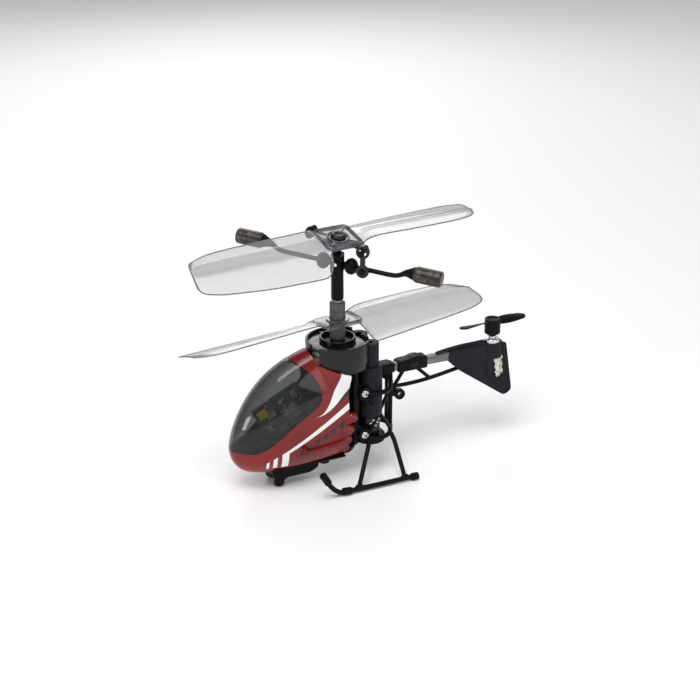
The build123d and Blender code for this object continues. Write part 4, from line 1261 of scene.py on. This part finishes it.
def build_tail():
    """Boom, clamp, truss, fin, tape, tail motor and a tail rotor of twisted blades."""
    x0, x1 = -31.9, -9.4
    section = rounded([(-BOOM_HALF, -BOOM_HALF), (BOOM_HALF, -BOOM_HALF), (BOOM_HALF, BOOM_HALF),
                       (-BOOM_HALF, BOOM_HALF)], 0.22, 4, closed=True)
    rings = np.stack([np.column_stack([np.full(len(section), x), section[:, 0], section[:, 1] + BOOM_Z])
                      for x in np.linspace(x1, x0, 30)])
    make("tail boom", capped(rings[:, ::-1]), finish_of("boom"), "airframe", ("tail_boom",))
    socket = joined([brick((-12.1, -1.45, 19.9), (-8.95, 1.45, 22.3), 0.3),
                     brick((-12.6, -1.2, 20.1), (-12.0, 1.2, 22.1), 0.2)])
    make("boom socket", socket, finish_of("black"), "airframe", ("boom_socket",))
    hump = rounded([(-20.2, 19.8), (-13.3, 19.8), (-13.3, 22.0), (-14.0, 22.3), (-16.2, 22.4), (-16.8, 22.7),
                    (-18.2, 22.75), (-19.0, 22.45), (-20.2, 22.4)], 0.45, 5, closed=True)
    window_rims = [brick((-18.2, s * 1.28 - 0.08, 20.25), (-15.7, s * 1.28 + 0.08, 20.5), 0.05) for s in (-1,
                                                                                                          1)]
    window_rims += [brick((-18.2, s * 1.28 - 0.08, 21.6), (-15.7, s * 1.28 + 0.08, 21.85), 0.05) for s in (-1,
                                                                                                           1)]
    strut = [rod([(-15.3, 0, 19.9), (-13.1, 0, 16.7)], 0.4), rod([(-18.0, 0, 19.9), (-21.3, 0, 16.8)], 0.4)]
    chord = sweep(smooth_path([(-12.4, 0, 16.6), (-14.6, 0, 16.35), (-18.0, 0, 16.4), (-21.9, 0, 16.75),
                               (-28.4, 0, 17.75)]),
                  0.43, 14, (0, 1, 0))
    brace = joined([side_plate(hump, 1.33, 0.25), *window_rims, *strut, chord])
    make("tail brace", brace, finish_of("black"), "airframe", ("tail_brace",))
    panes = [brick((-17.9, s * 1.33 - 0.03, 20.6), (-16.1, s * 1.33 + 0.03, 21.5), 0.02) for s in (-1, 1)]
    make("clamp windows", joined(panes), finish_of("fin"), "airframe", ())
    outline = rounded([(-25.5, 20.3), (-25.6, 22.1), (-39.1, 22.1), (-40.9, 10.6), (-39.3, 9.75),
                       (-28.0, 17.8)],
                      0.8, 7, closed=True)
    lip = rounded([(-25.6, 21.75), (-25.7, 22.35), (-34.4, 22.75), (-34.4, 21.75)], 0.25, 4, closed=True)
    can = lathe([(1.62, 14.7), (2.05, 14.7), (2.05, 22.4), (1.62, 22.4)], (TAIL_X, 0, 0), closed=True,
                round_by=0.15)
    pip = lathe([(0, -0.02), (0.2, -0.02), (0.2, 0.06), (0, 0.06)], (-33.1, 0.95, 19.1), (0, 1, 0), 0.03, 20)
    fin = joined([side_plate(outline[::-1], 0.95, 0.22), side_plate(lip[::-1], 0.75, 0.15), can, pip])
    make("tail fin", fin, finish_of("fin"), "airframe", ("tail_fin",))
    # Crumpled tape: a small sheet laid over the fin and its motor; its height is a sum of three waves.
    u, v = np.meshgrid(np.linspace(-1, 1, 26), np.linspace(-1, 1, 34), indexing="ij")
    ragged = 1 + 0.10 * np.sin(9 * v) * np.abs(u)
    height = 0.05 * np.sin(7 * u + 3 * v) + 0.05 * np.sin(5 * u - 8 * v) + 0.04 * np.sin(13 * v * u)
    x = TAIL_X - 1.0 + 1.2 * u * ragged + 0.25 * v
    face = np.maximum(0.97, np.sqrt(np.maximum(2.05**2 - (x - TAIL_X) ** 2, 0.0)))
    curl = 0.10 * np.maximum(np.abs(u), np.abs(v)) ** 6
    tape = np.stack([x, face + 0.16 + height - curl, 17.0 + 2.1 * v * (1 + 0.06 * np.sin(11 * u))], -1)
    piece = make("fin tape", grid(tape[::-1]), finish_of("foil"), "airframe", ())
    walled(piece, 0.08)
    motor = lathe([(0, 15.4), (1.6, 15.4), (1.6, 23.05), (1.45, 23.3), (0.85, 23.3), (0.85, 23.85),
                   (0.38, 23.85),
                   (0.38, 26.35), (0, 26.35)], (TAIL_X, 0, 0), round_by=0.12, segments=56)
    notches = [brick((1.2, -0.28, 22.5), (1.72, 0.28, 23.15),
                     0.08).turned(spin((0, 0, 1), a)).shifted((TAIL_X, 0, 0))
               for a in (20, 110, 200, 290)]
    make("tail motor", motor + joined(notches), finish_of("steel"), "airframe", ("tail_motor",))
    hub = lathe([(0.48, 24.4), (1.7, 24.4), (1.72, 25.2), (1.64, 25.3), (1.64, 25.45), (1.72, 25.55),
                 (1.7, 27.7),
                 (1.1, 27.7), (1.05, 27.45), (0, 27.45), (0, 26.5), (0.48, 26.5)], round_by=0.16, segments=56,
                 closed=True)
    blades = []
    for end in (0, 180):
        r = np.linspace(1.2, 8.2, 40)
        t = (r - 1.2) / 7.0
        pitch = np.radians(34 * t**0.7 - 38)
        end_round = np.sqrt(np.clip(1 - np.clip((t - 0.8) / 0.21, 0, 1) ** 2, 0.01, 1))
        half = (0.8 + 0.55 * np.sin(math.pi * np.minimum(t * 0.9, 0.62) ** 0.9)) * end_round
        w = np.concatenate([np.linspace(-1, 1, 14), np.linspace(1, -1, 14)])
        side = np.concatenate([np.full(14, 1.0), np.full(14, -1.0)])
        skin = side * 0.15 * np.sqrt(np.maximum(1 - w**2, 0.02))
        y = half[:, None] * w * np.cos(pitch)[:, None] - skin * np.sin(pitch)[:, None]
        z = half[:, None] * w * np.sin(pitch)[:, None] + skin * np.cos(pitch)[:, None] + 0.10 * (1 - w**2)
        points = np.stack([-r[:, None] + 0 * y, y, z + 26.9], -1)
        blades.append(capped(points[::-1]).turned(spin((0, 0, 1), end)))
    rotor = joined([hub, *blades]).turned(spin((0, 0, 1), TAIL_TURN)).shifted((TAIL_X, 0, 0))
    make("tail rotor", rotor, finish_of("black"), "tail_rotor", ("tail_rotor",))
    leads = [sweep(smooth_path([(-22.9, y, 22.1), (-25.8, y * 1.2, 22.45), (-29.0, y, 22.75),
                                (-32.4, y, 22.8), (-34.6, y, 22.7)]),
                   0.2, 12, (0, 1, 0)) for y in (-0.3, 0.3)]
    make("tail wires", joined(leads), finish_of("wire"), "airframe", ("tail_wires",))


# ---- rotors ----------------------------------------------------------------
LOWER_Z, LOWER_TURN = place_of("lower_rotor_spin")[2], 10.0
UPPER_Z, UPPER_TURN, UPPER_TILT = 51.2, 5.0, 13.0
FEATHER_Z = place_of("upper_rotor_feather")[2]
# Span and offset of the leading edge, span and offset of the trailing edge, pitch.
LOWER_BLADE = np.array([
    (2.4, 2.4, 2.4, 2.6, 0.0), (3.4, 2.4, 3.2, 3.1, 4.0), (4.8, 2.6, 3.9, 6.2, 18.0),
    (7.4, 2.9, 5.4, 7.6, 25.0),
    (16.0, 3.0, 16.8, 7.2, 22.0), (24.0, 2.9, 25.0, 6.9, 19.0), (30.5, 2.3, 31.6, 6.5, 17.0),
    (33.2, 0.6, 34.1, 5.9, 16.5),
])
UPPER_BLADE = np.array([
    (2.6, 3.5, 2.6, 3.5, 0.0), (3.6, 3.5, 3.4, 3.9, 4.0), (5.0, 3.3, 4.2, 6.4, 15.0),
    (8.2, 3.0, 6.6, 8.6, 21.0),
    (15.6, 2.8, 16.4, 8.8, 19.0), (23.2, 2.5, 24.6, 8.4, 17.0), (29.0, 2.0, 30.4, 7.9, 15.5),
    (32.2, 1.2, 33.0, 7.3, 15.0),
])


def eased(rows, count):
    """Monotone smooth rows between the stations: a Hermite curve with limited slopes."""
    rows = np.asarray(rows, float)
    knots = np.arange(len(rows), dtype=float)
    step = np.diff(rows, axis=0)
    slopes = np.vstack([step[:1], 2 * step[1:] * step[:-1] * (step[1:] * step[:-1] > 0)
                        / np.where(step[1:] + step[:-1] == 0, 1, step[1:] + step[:-1]), step[-1:]])
    s = np.linspace(0, knots[-1], count)
    i = np.clip(s.astype(int), 0, len(rows) - 2)
    t = (s - i)[:, None]
    return ((2 * t**3 - 3 * t**2 + 1) * rows[i] + (t**3 - 2 * t**2 + t) * slopes[i]
            + (3 * t**2 - 2 * t**3) * rows[i + 1] + (t**3 - t**2) * slopes[i + 1])


def blade_skin(stations, sense, crease):
    """Top surface of one blade on a grid of span and chord.

    A point is back + (front - back) w + camber 4 w (1 - w), with a rounded crease
    at w = crease, and the corners of the tip drawn in by a superellipse.
    """
    rows = eased(stations, heli().steps)
    w = np.linspace(0, 1, 34)
    pitch = np.radians(rows[:, 4])
    front = np.stack([rows[:, 0], sense * rows[:, 1] * np.cos(pitch), rows[:, 1] * np.sin(pitch)], -1)
    back = np.stack([rows[:, 2], -sense * rows[:, 3] * np.cos(pitch), -rows[:, 3] * np.sin(pitch)], -1)
    chord = (rows[:, 1] + rows[:, 3])[:, None]
    run = ((rows[:, 4] / 20.0) ** 0.8)[:, None]
    points = back[:, None] + (front - back)[:, None] * w[None, :, None]
    fold = np.exp(-(((w - crease) / 0.055) ** 2)) - 0.35 * np.exp(-(((w - crease + 0.14) / 0.06) ** 2))
    points[..., 2] += chord * run * (0.30 * w * (1 - w) + 0.020 * fold)
    far = eased_step((rows[:, 0] - 24.0) / (rows[-1, 0] - 24.0))[:, None]
    points[..., 0] -= 1.5 * far * np.abs(2 * w - 1) ** 6
    return points


def blade_pair(stations, sense, crease, thickness=0.3):
    """Both blades with their own thickness, and the beads along their edges."""
    solids, beads = [], []
    for turn in (0, 180):
        top = blade_skin(stations, sense, crease)
        across = np.gradient(top, axis=1)
        span = np.gradient(top, axis=0)
        normal = np.cross(span, across) * sense
        normal /= np.maximum(np.linalg.norm(normal, axis=-1), 1e-9)[..., None]
        low = top - normal * thickness
        ring = np.concatenate([top, low[:, ::-1]], axis=1)
        solid = capped(ring if sense > 0 else ring[:, ::-1])
        edge = np.vstack([top[4:, 0], top[-1, 1:-1], top[4:, -1][::-1]])
        edge = edge - np.array([0, 0, thickness / 2])
        matrix = spin((0, 0, 1), turn)
        solids.append(solid.turned(matrix))
        # The edge beads carry the painted edge shade of the clear blades.
        beads.append(sweep(edge, heli().rim / MM, 10, (0.02, 0.05, 1)).turned(matrix))
    return solids, beads


def square_loop(half, corner, turn=0.0):
    """Rounded square outline, anticlockwise."""
    line = rounded([(-half, -half), (half, -half), (half, half), (-half, half)], corner, 6, closed=True)
    return line @ spin((0, 0, 1), turn)[:2, :2].T


def loop_bar(outline, z, radius):
    """Round bead along a closed flat outline."""
    line = np.column_stack([outline, np.full(len(outline), z)])
    line = np.vstack([line, line[:2]])
    return sweep(line, radius, 10, (0.02, 0.03, 1))


def build_lower_rotor():
    """Blades from blade_skin on LOWER_BLADE, with the hub plate between them."""
    turn = spin((0, 0, 1), LOWER_TURN)

    def put(shape):
        return shape.shifted((0, 0, LOWER_Z)).turned(turn)

    solids, beads = blade_pair(LOWER_BLADE, 1, 0.76)
    make("lower blades", put(joined(solids)), finish_of("lower clear"), "lower_rotor",
         ("lower_rotor_blades",), 60)
    # Dark grey beads along the blade edges: painted shade for the clear edges.
    make("lower blade rims", put(joined(beads)), finish_of("rim"), "lower_rotor", ())
    plate = rounded([(-4.6, -2.5), (4.0, -2.7), (4.6, -2.2), (4.6, 2.5), (-4.0, 2.7), (-4.6, 2.2)], 0.7, 5,
                    closed=True)
    hub = [slab(plate, -0.2, 0.2, 0.12), lathe([(1.62, -0.55), (2.4, -0.55), (2.4, 0.5), (1.62, 0.5)],
                                               closed=True)]
    for s in (-1, 1):
        # Down-turned flange along each long side of the plate.
        hub.append(brick((-4.3, s * 2.5 - 0.16, -0.75), (4.3, s * 2.5 + 0.16, 0.15), 0.12))
    make("lower hub plate", put(joined(hub)), finish_of("hub"), "lower_rotor", ())
    # A dark grey bead round the hub plate: painted shade for its clear edge.
    loops = [loop_bar(plate * 0.985, 0.16, 0.09)]
    make("lower hub rim", put(joined(loops)), finish_of("rim"), "lower_rotor", ())


def upper_place(shape):
    """Tilts a level piece about the feather pin's axis, left side down, then turns it."""
    return shape.turned(spin((1, 0, 0), -UPPER_TILT), (0, 0, FEATHER_Z)).turned(spin((0, 0, 1), UPPER_TURN))


FLYBAR_TURN, FLYBAR_TILT = -46.0, 5.0
PIVOT_Z = place_of("flybar_teeter")[2]
KNOB_REACH, KNOB_Z, LINK_SIDE = 5.9, UPPER_Z - 0.6, 1.4


def build_upper_rotor():
    """Blades from blade_skin on UPPER_BLADE at the rest tilt, with cap and yoke."""
    def put(shape):
        return upper_place(shape.shifted((0, 0, UPPER_Z)))

    solids, beads = blade_pair(UPPER_BLADE, -1, 0.70)
    make("upper blades", put(joined(solids)), finish_of("upper clear"), "upper_rotor",
         ("upper_rotor_blades",), 60)
    # Dark grey beads along the blade edges: painted shade for the clear edges.
    make("upper blade rims", put(joined(beads)), finish_of("rim"), "upper_rotor", ())
    hub = [slab(square_loop(4.0, 1.1), -0.2, 0.2, 0.1),
           lathe([(1.9, -0.1), (2.3, -0.1), (2.3, 0.5), (1.9, 0.5)], closed=True, round_by=0.12),
           loop_bar(square_loop(3.7, 1.1), 0.28, 0.26)]
    for angle in (45, 135, 225, 315):
        hub.append(brick((2.2, -0.16, 0.0), (4.1, 0.16, 0.42), 0.1).turned(spin((0, 0, 1), angle)))
    for s in (-1, 1):
        hub.append(brick((-3.2, s * 3.35 - 0.14, -0.65), (3.2, s * 3.35 + 0.14, 0.1), 0.1))
    make("upper hub plate", put(joined(hub)), finish_of("hub"), "upper_rotor", ())
    # A dark grey bead round the hub plate: painted shade for its clear edge.
    loops = [loop_bar(square_loop(4.05, 1.1), 0.05, 0.1)]
    make("upper hub rim", put(joined(loops)), finish_of("rim"), "upper_rotor", ())
    cap = lathe([(0, 0.15), (1.55, 0.15), (1.6, 0.55), (1.35, 0.95), (0.75, 1.0), (0.62, 0.82), (0, 0.82)],
                round_by=0.2)
    make("rotor cap", put(cap), finish_of("gloss"), "upper_rotor", ("rotor_cap",))
    yoke = [brick((-2.6, -2.4, -0.8), (2.6, 2.4, -0.22), 0.2),
            lathe([(0, -0.5), (0.95, -0.5), (0.95, 0.3), (0, 0.3)])]
    drop = FEATHER_Z - UPPER_Z
    for s in (-1, 1):
        yoke.append(brick((s * 1.3 - 0.33, -0.78, drop), (s * 1.3 + 0.33, 0.78, -0.5), 0.1))
        yoke.append(lathe([(0.4, -0.33), (0.8, -0.33), (0.8, 0.33), (0.4, 0.33)], (s * 1.3, 0, drop),
                          (1, 0, 0),
                          0.08, closed=True))
    z = KNOB_Z - UPPER_Z
    for end, size in ((0, 0.85), (180, 1.3)):
        ball_head = ball((KNOB_REACH, 0, z), (size * 0.8, size, size))
        neck = sweep([(1.8, 0, z), (3.6, 0, z), (KNOB_REACH, 0, z)], 0.52, 14, (0, 1, 0))
        collar = lathe([(0, 0), (0.78, 0), (0.86, 0.25), (0.78, 0.5), (0, 0.5)], (4.3, 0, z), (1, 0, 0), 0.1,
                       32)
        pin = lathe([(0, 0), (0.42, 0), (0.42, LINK_SIDE + 0.62), (0.62, LINK_SIDE + 0.66),
                     (0.62, LINK_SIDE + 0.85),
                     (0, LINK_SIDE + 0.9)], (KNOB_REACH, 0, z), (0, -1, 0), 0.06, 28)
        arm = joined([ball_head, neck, collar, pin])
        yoke.append(arm.turned(spin((0, 0, 1), FLYBAR_TURN + 180 - UPPER_TURN + end)))
    make("upper yoke", put(joined(yoke)), finish_of("black"), "upper_rotor", ("upper_rotor_yoke",))


# ---- mast and flybar -------------------------------------------------------
def build_mast():
    """Lathed sleeves, rotor head and pins on the rotor axis."""
    z = PIVOT_Z
    paint_node("inner_shaft", "steel")
    collar = [(1.42, 29.9), (1.62, 29.9), (1.62, LOWER_Z - 0.6), (1.42, LOWER_Z - 0.6)]
    grooves = joined([lathe(collar, closed=True, round_by=0.08, segments=48),
                      lathe([(1.4, 32.3), (1.85, 32.4), (1.85, 32.95), (1.4, 32.95)], closed=True,
                            round_by=0.1)])
    make("sleeve collar", grooves, finish_of("sleeve"), "lower_rotor", ("sleeve_collar",))
    top = box_of("sleeve_nut")[1][2]
    nut = lathe([(0.58, top - 0.95), (0.58, top - 0.02), (1.2, top), (1.6, top - 0.2), (1.6, 35.9),
                 (1.52, 35.8),
                 (1.52, 35.65), (1.6, 35.55), (1.6, LOWER_Z + 0.5), (1.42, LOWER_Z + 0.5),
                 (1.42, top - 0.95)][::-1],
                closed=True, round_by=0.07, segments=56)
    make("sleeve nut", nut, finish_of("sleeve"), "lower_rotor", ("sleeve_nut",))
    tube = lathe([(0.52, 38.1), (1.12, 38.1), (1.28, 38.5), (1.25, z - 1.6), (0.52, z - 1.6)], closed=True,
                 round_by=0.12)
    spring = lathe([(0.52, 37.72), (0.95, 37.75), (0.95, 37.9), (0.75, 37.95), (0.95, 38.0), (0.95, 38.12),
                    (0.52, 38.12)],
                   closed=True, round_by=0.04)
    cheeks = [brick((-1.1, s * 1.02 - 0.2, z - 1.7), (1.1, s * 1.02 + 0.2, z + 2.15), 0.14) for s in (-1, 1)]
    cheeks += [brick((-1.05, -1.2, z - 1.75), (1.05, 1.2, z - 1.38), 0.12),
               brick((-1.05, -1.2, z + 1.5), (1.05, 1.2, z + 2.2), 0.14)]
    for s in (-1, 1):
        cheeks.append(lathe([(0.42, 0.8), (1.05, 0.8), (1.05, 1.38), (0.42, 1.38)], (0, 0, z), (0, s, 0), 0.1,
                            36, closed=True))
    fork = joined(cheeks).turned(spin((0, 0, 1), FLYBAR_TURN))
    eye = [brick((-0.72, -0.55, z + 2.0), (0.72, 0.55, FEATHER_Z - 0.4), 0.14),
           lathe([(0.37, -0.8), (0.75, -0.8), (0.75, 0.8), (0.37, 0.8)], (0, 0, FEATHER_Z), (1, 0, 0), 0.08,
                 36, closed=True)]
    eye = joined(eye).turned(spin((0, 0, 1), UPPER_TURN))
    make("rotor head", joined([tube, fork, eye]), finish_of("black"), "rotor_mast", ("rotor_head",))
    make("head spring", spring, finish_of("steel"), "rotor_mast", ())
    across = spin((0, 0, 1), FLYBAR_TURN) @ np.array([0, 1.0, 0])
    pin = lathe([(0, -1.25), (0.4, -1.25), (0.4, 1.25), (0, 1.25)], (0, 0, z), across, 0.08, 28)
    make("teeter pin", pin, finish_of("steel"), "rotor_mast", ("teeter_pin",))
    along_x = spin((0, 0, 1), UPPER_TURN) @ np.array([1.0, 0, 0])
    pin = lathe([(0, -1.7), (0.35, -1.7), (0.35, 1.7), (0, 1.7)], (0, 0, FEATHER_Z), along_x, 0.06, 28)
    make("feather pin", pin, finish_of("steel"), "rotor_mast", ("feather_pin",))


def flybar_place(shape):
    """Tilts a level flybar piece about its pivot, far end up, and turns it."""
    tilted = shape.turned(spin((0, 1, 0), -FLYBAR_TILT), (0, 0, PIVOT_Z))
    return tilted.turned(spin((0, 0, 1), FLYBAR_TURN))


def build_flybar():
    """Bars swept from the teeter pin, lathed weights and the two-eyed link."""
    z, inner, outer, rise = PIVOT_Z, 16.2, 21.8, 1.3
    parts = [lathe([(0.45, -0.62), (1.08, -0.62), (1.08, 0.62), (0.45, 0.62)], (0, 0, z), (0, 1, 0), 0.12, 40,
                   closed=True)]
    weights = []
    for s in (-1, 1):
        lump = ball((s * 3.0, 0, z), (1.4, 1.45, 1.7), 32)
        neck = sweep([(s * 0.75, 0, z), (s * 1.6, 0, z), (s * 3.0, 0, z)], [0.55, 0.65, 1.0], 16, (0, 1, 0))
        arm = smooth_path([(s * 3.0, 0, z), (s * 8.0, 0, z), (s * 12.2, 0, z + 0.1),
                           (s * (inner - 1.8), 0, z + rise * 0.8),
                           (s * inner, 0, z + rise)])
        reach = np.abs(arm[:, 0])
        radius = 0.48 + 0.9 * np.clip((reach - (inner - 2.7)) / 2.7, 0, 1) ** 1.3
        parts += [lump, neck, sweep(arm, radius, 22, (0, 1, 0))]
        body = [(0, inner - 0.1), (1.30, inner - 0.1), (1.62, inner + 0.45), (1.62, inner + 4.0),
                (1.56, inner + 4.08),
                (1.62, inner + 4.16), (1.6, outer - 0.25), (1.38, outer), (0, outer)]
        weights.append(lathe(body, (0, 0, z + rise), (s, 0, 0), 0.12, 40))
    pin = lathe([(0, 0.3), (0.42, 0.3), (0.42, LINK_SIDE + 0.5), (0.62, LINK_SIDE + 0.53),
                 (0.62, LINK_SIDE + 0.72),
                 (0, LINK_SIDE + 0.76)], (-5.9, 0, z), (0, 1, 0), 0.06, 28)
    parts.append(pin)
    make("flybar", flybar_place(joined(parts)), finish_of("black"), "flybar", ("flybar",))
    make("flybar weights", flybar_place(joined(weights)), finish_of("weight"), "flybar", ("flybar_weights",))
    low = flybar_place(Shape([(-5.9, LINK_SIDE, z)], [])).points[0]
    arm_turn = spin((0, 0, 1), FLYBAR_TURN + 180 - UPPER_TURN)
    high = upper_place(Shape([(KNOB_REACH, -LINK_SIDE, KNOB_Z)], []).turned(arm_turn)).points[0]
    side = spin((0, 0, 1), FLYBAR_TURN + 90) @ np.array([1.0, 0, 0])
    high = high - side * ((high - low) @ side)
    run = high - low
    length = np.linalg.norm(run)
    matrix = np.column_stack([run / length, np.cross(side, run / length), side])
    bar = brick((0.9, -0.5, -0.3), (length - 1.1, 0.5, 0.3), 0.12)
    shape = joined([
        lathe([(0.47, -0.45), (1.3, -0.45), (1.3, 0.45), (0.47, 0.45)], closed=True, round_by=0.2,
              segments=40),
        lathe([(0.84, -0.45), (1.38, -0.45), (1.38, 0.45), (0.84, 0.45)], (length, 0, 0), closed=True,
              round_by=0.16,
              segments=40),
        bar,
    ])
    make("flybar link", shape.turned(matrix).shifted(low), finish_of("gloss"), "link", ("flybar_link",))


# ---- studio ----------------------------------------------------------------
CAMERA_AZIMUTH, CAMERA_PITCH, CAMERA_FAR = 155.0, 23.5, 316.0


def add_light(name, place, aim, size, power, colour=(1, 1, 1)):
    """Square soft light at a place, facing an aim, in millimetres."""
    light = bpy.data.lights.new(name, "AREA")
    light.shape, light.size, light.energy, light.color = "SQUARE", size * MM, power, colour
    piece = bpy.data.objects.new(name, light)
    matrix = basis(np.array(place, float) - np.array(aim, float), (0, 1, 0))
    world = np.eye(4)
    world[:3, :3], world[:3, 3] = matrix, np.array(place) * MM
    piece.matrix_world = Matrix(world.tolist())
    bpy.context.scene.collection.objects.link(piece)


def build_stage():
    """Camera at the main view, a pale floor, four area lights and a white world."""
    scene = bpy.context.scene
    a, e = math.radians(CAMERA_AZIMUTH), math.radians(CAMERA_PITCH)
    back = np.array([math.sin(a) * math.cos(e), -math.cos(a) * math.cos(e), math.sin(e)])
    right = np.cross(-back, (0, 0, 1.0))
    right /= np.linalg.norm(right)
    up = np.cross(right, -back)
    aim = right * 2.53 + up * 24.77
    world = np.eye(4)
    world[:3, :3] = np.column_stack([right, up, back])
    world[:3, 3] = (aim + back * CAMERA_FAR) * MM
    camera = bpy.data.objects.new("camera", bpy.data.cameras.new("camera"))
    camera.data.sensor_width, camera.data.lens = 36.0, 77.14
    camera.data.clip_start, camera.data.clip_end = 0.01, 20.0
    camera.matrix_world = Matrix(world.tolist())
    scene.collection.objects.link(camera)
    scene.camera = camera
    # Floor: flat near the part, then rising as a parabola far behind it.
    reach = np.linspace(-900, 900, 40)
    run = np.linspace(-900, 1500, 60)
    x, y = np.meshgrid(reach, run, indexing="ij")
    z = np.where(y > 700, ((y - 700) / 800) ** 2 * 500, 0.0)
    flat = grid(np.stack([x, -y, z], -1)[::-1])
    mesh = bpy.data.meshes.new("floor")
    mesh.from_pydata((flat.points * MM).tolist(), [], flat.faces)
    mesh.materials.append(finish_of("floor"))
    mesh.shade_smooth()
    floor = bpy.data.objects.new("floor", mesh)
    scene.collection.objects.link(floor)
    scene.view_settings.view_transform = "Standard"
    power = heli().key
    centre = (0, 0, 20)
    add_light("key", (120, 120, 430), centre, 260, power * 2.1)
    add_light("fill", (-160, 400, 180), centre, 260, power * 0.6)
    add_light("nose_strip", (420, 110, 75), (10, 0, 16), 95, power * 0.5)
    add_light("back", (-120, -380, 260), centre, 260, power * 0.9)
    sky = bpy.data.worlds.new("white room")
    sky.use_nodes = True
    sky.node_tree.nodes["Background"].inputs[0].default_value = (1, 1, 1, 1)
    sky.node_tree.nodes["Background"].inputs[1].default_value = 0.42
    scene.world = sky


# ---- add-on ----------------------------------------------------------------
def operator(key, label, help_text, build):
    """An Operator class that runs one build function."""

    def execute(self, context):
        build()
        return {"FINISHED"}

    body = {"bl_idname": f"helicopter.{key}", "bl_label": label, "__doc__": help_text, "execute": execute}
    return type(f"HELICOPTER_OT_{key}", (bpy.types.Operator,), body)


OPERATORS = [
    operator("stage", "Studio", "Adds the camera, the floor and the lights", build_stage),
    operator("fuselage", "Fuselage", "Builds the red shell, scoops, belly, foot and switch", build_fuselage),
    operator("windscreen", "Windscreen", "Builds the smoke windscreen", build_windscreen),
    operator("inside", "Inside", "Builds the battery, the board and its parts", build_inside),
    operator("drive", "Drive", "Builds the gear housing, bushes and motors", build_drive),
    operator("gears", "Gears", "Gives the gears, pinions and outer shaft their finishes", build_gears),
    operator("cage", "Cage", "Builds the cage halves, screws and motor seat", build_cage),
    operator("skids", "Skids", "Builds the runners and their sleeves", build_skids),
    operator("tail", "Tail", "Builds the boom, brace, fin, tail motor and tail rotor", build_tail),
    operator("mast", "Mast", "Builds the sleeves, the rotor head and its pins", build_mast),
    operator("lower_rotor", "Lower rotor", "Builds the lower blades and hub plate", build_lower_rotor),
    operator("upper_rotor", "Upper rotor", "Builds the upper blades, hub plate, cap and yoke",
             build_upper_rotor),
    operator("flybar", "Flybar", "Builds the flybar, its weights and its link", build_flybar),
]


class HELICOPTER_PT_pieces(bpy.types.Panel):
    """Lists the operators and the look"""

    bl_label = "Helicopter"
    bl_idname = "HELICOPTER_PT_pieces"
    bl_space_type = "VIEW_3D"
    bl_region_type = "UI"
    bl_category = "Helicopter"

    def draw(self, context):
        for key in HelicopterLook.__annotations__:
            self.layout.prop(context.scene.helicopter, key)
        for item in OPERATORS:
            self.layout.operator(item.bl_idname)


def register():
    """Registers the classes and the look."""
    for item in [HelicopterLook, *OPERATORS, HELICOPTER_PT_pieces]:
        bpy.utils.register_class(item)
    bpy.types.Scene.helicopter = PointerProperty(type=HelicopterLook)


def unregister():
    """Removes the look and the classes."""
    del bpy.types.Scene.helicopter
    for item in reversed([HelicopterLook, *OPERATORS, HELICOPTER_PT_pieces]):
        bpy.utils.unregister_class(item)


def main():
    """Runs every operator in order and notes the sizes."""
    register()
    for item in OPERATORS:
        getattr(bpy.ops.helicopter, item.bl_idname.split(".")[1])()
    bpy.context.view_layer.update()


if __name__ == "__main__":
    main()
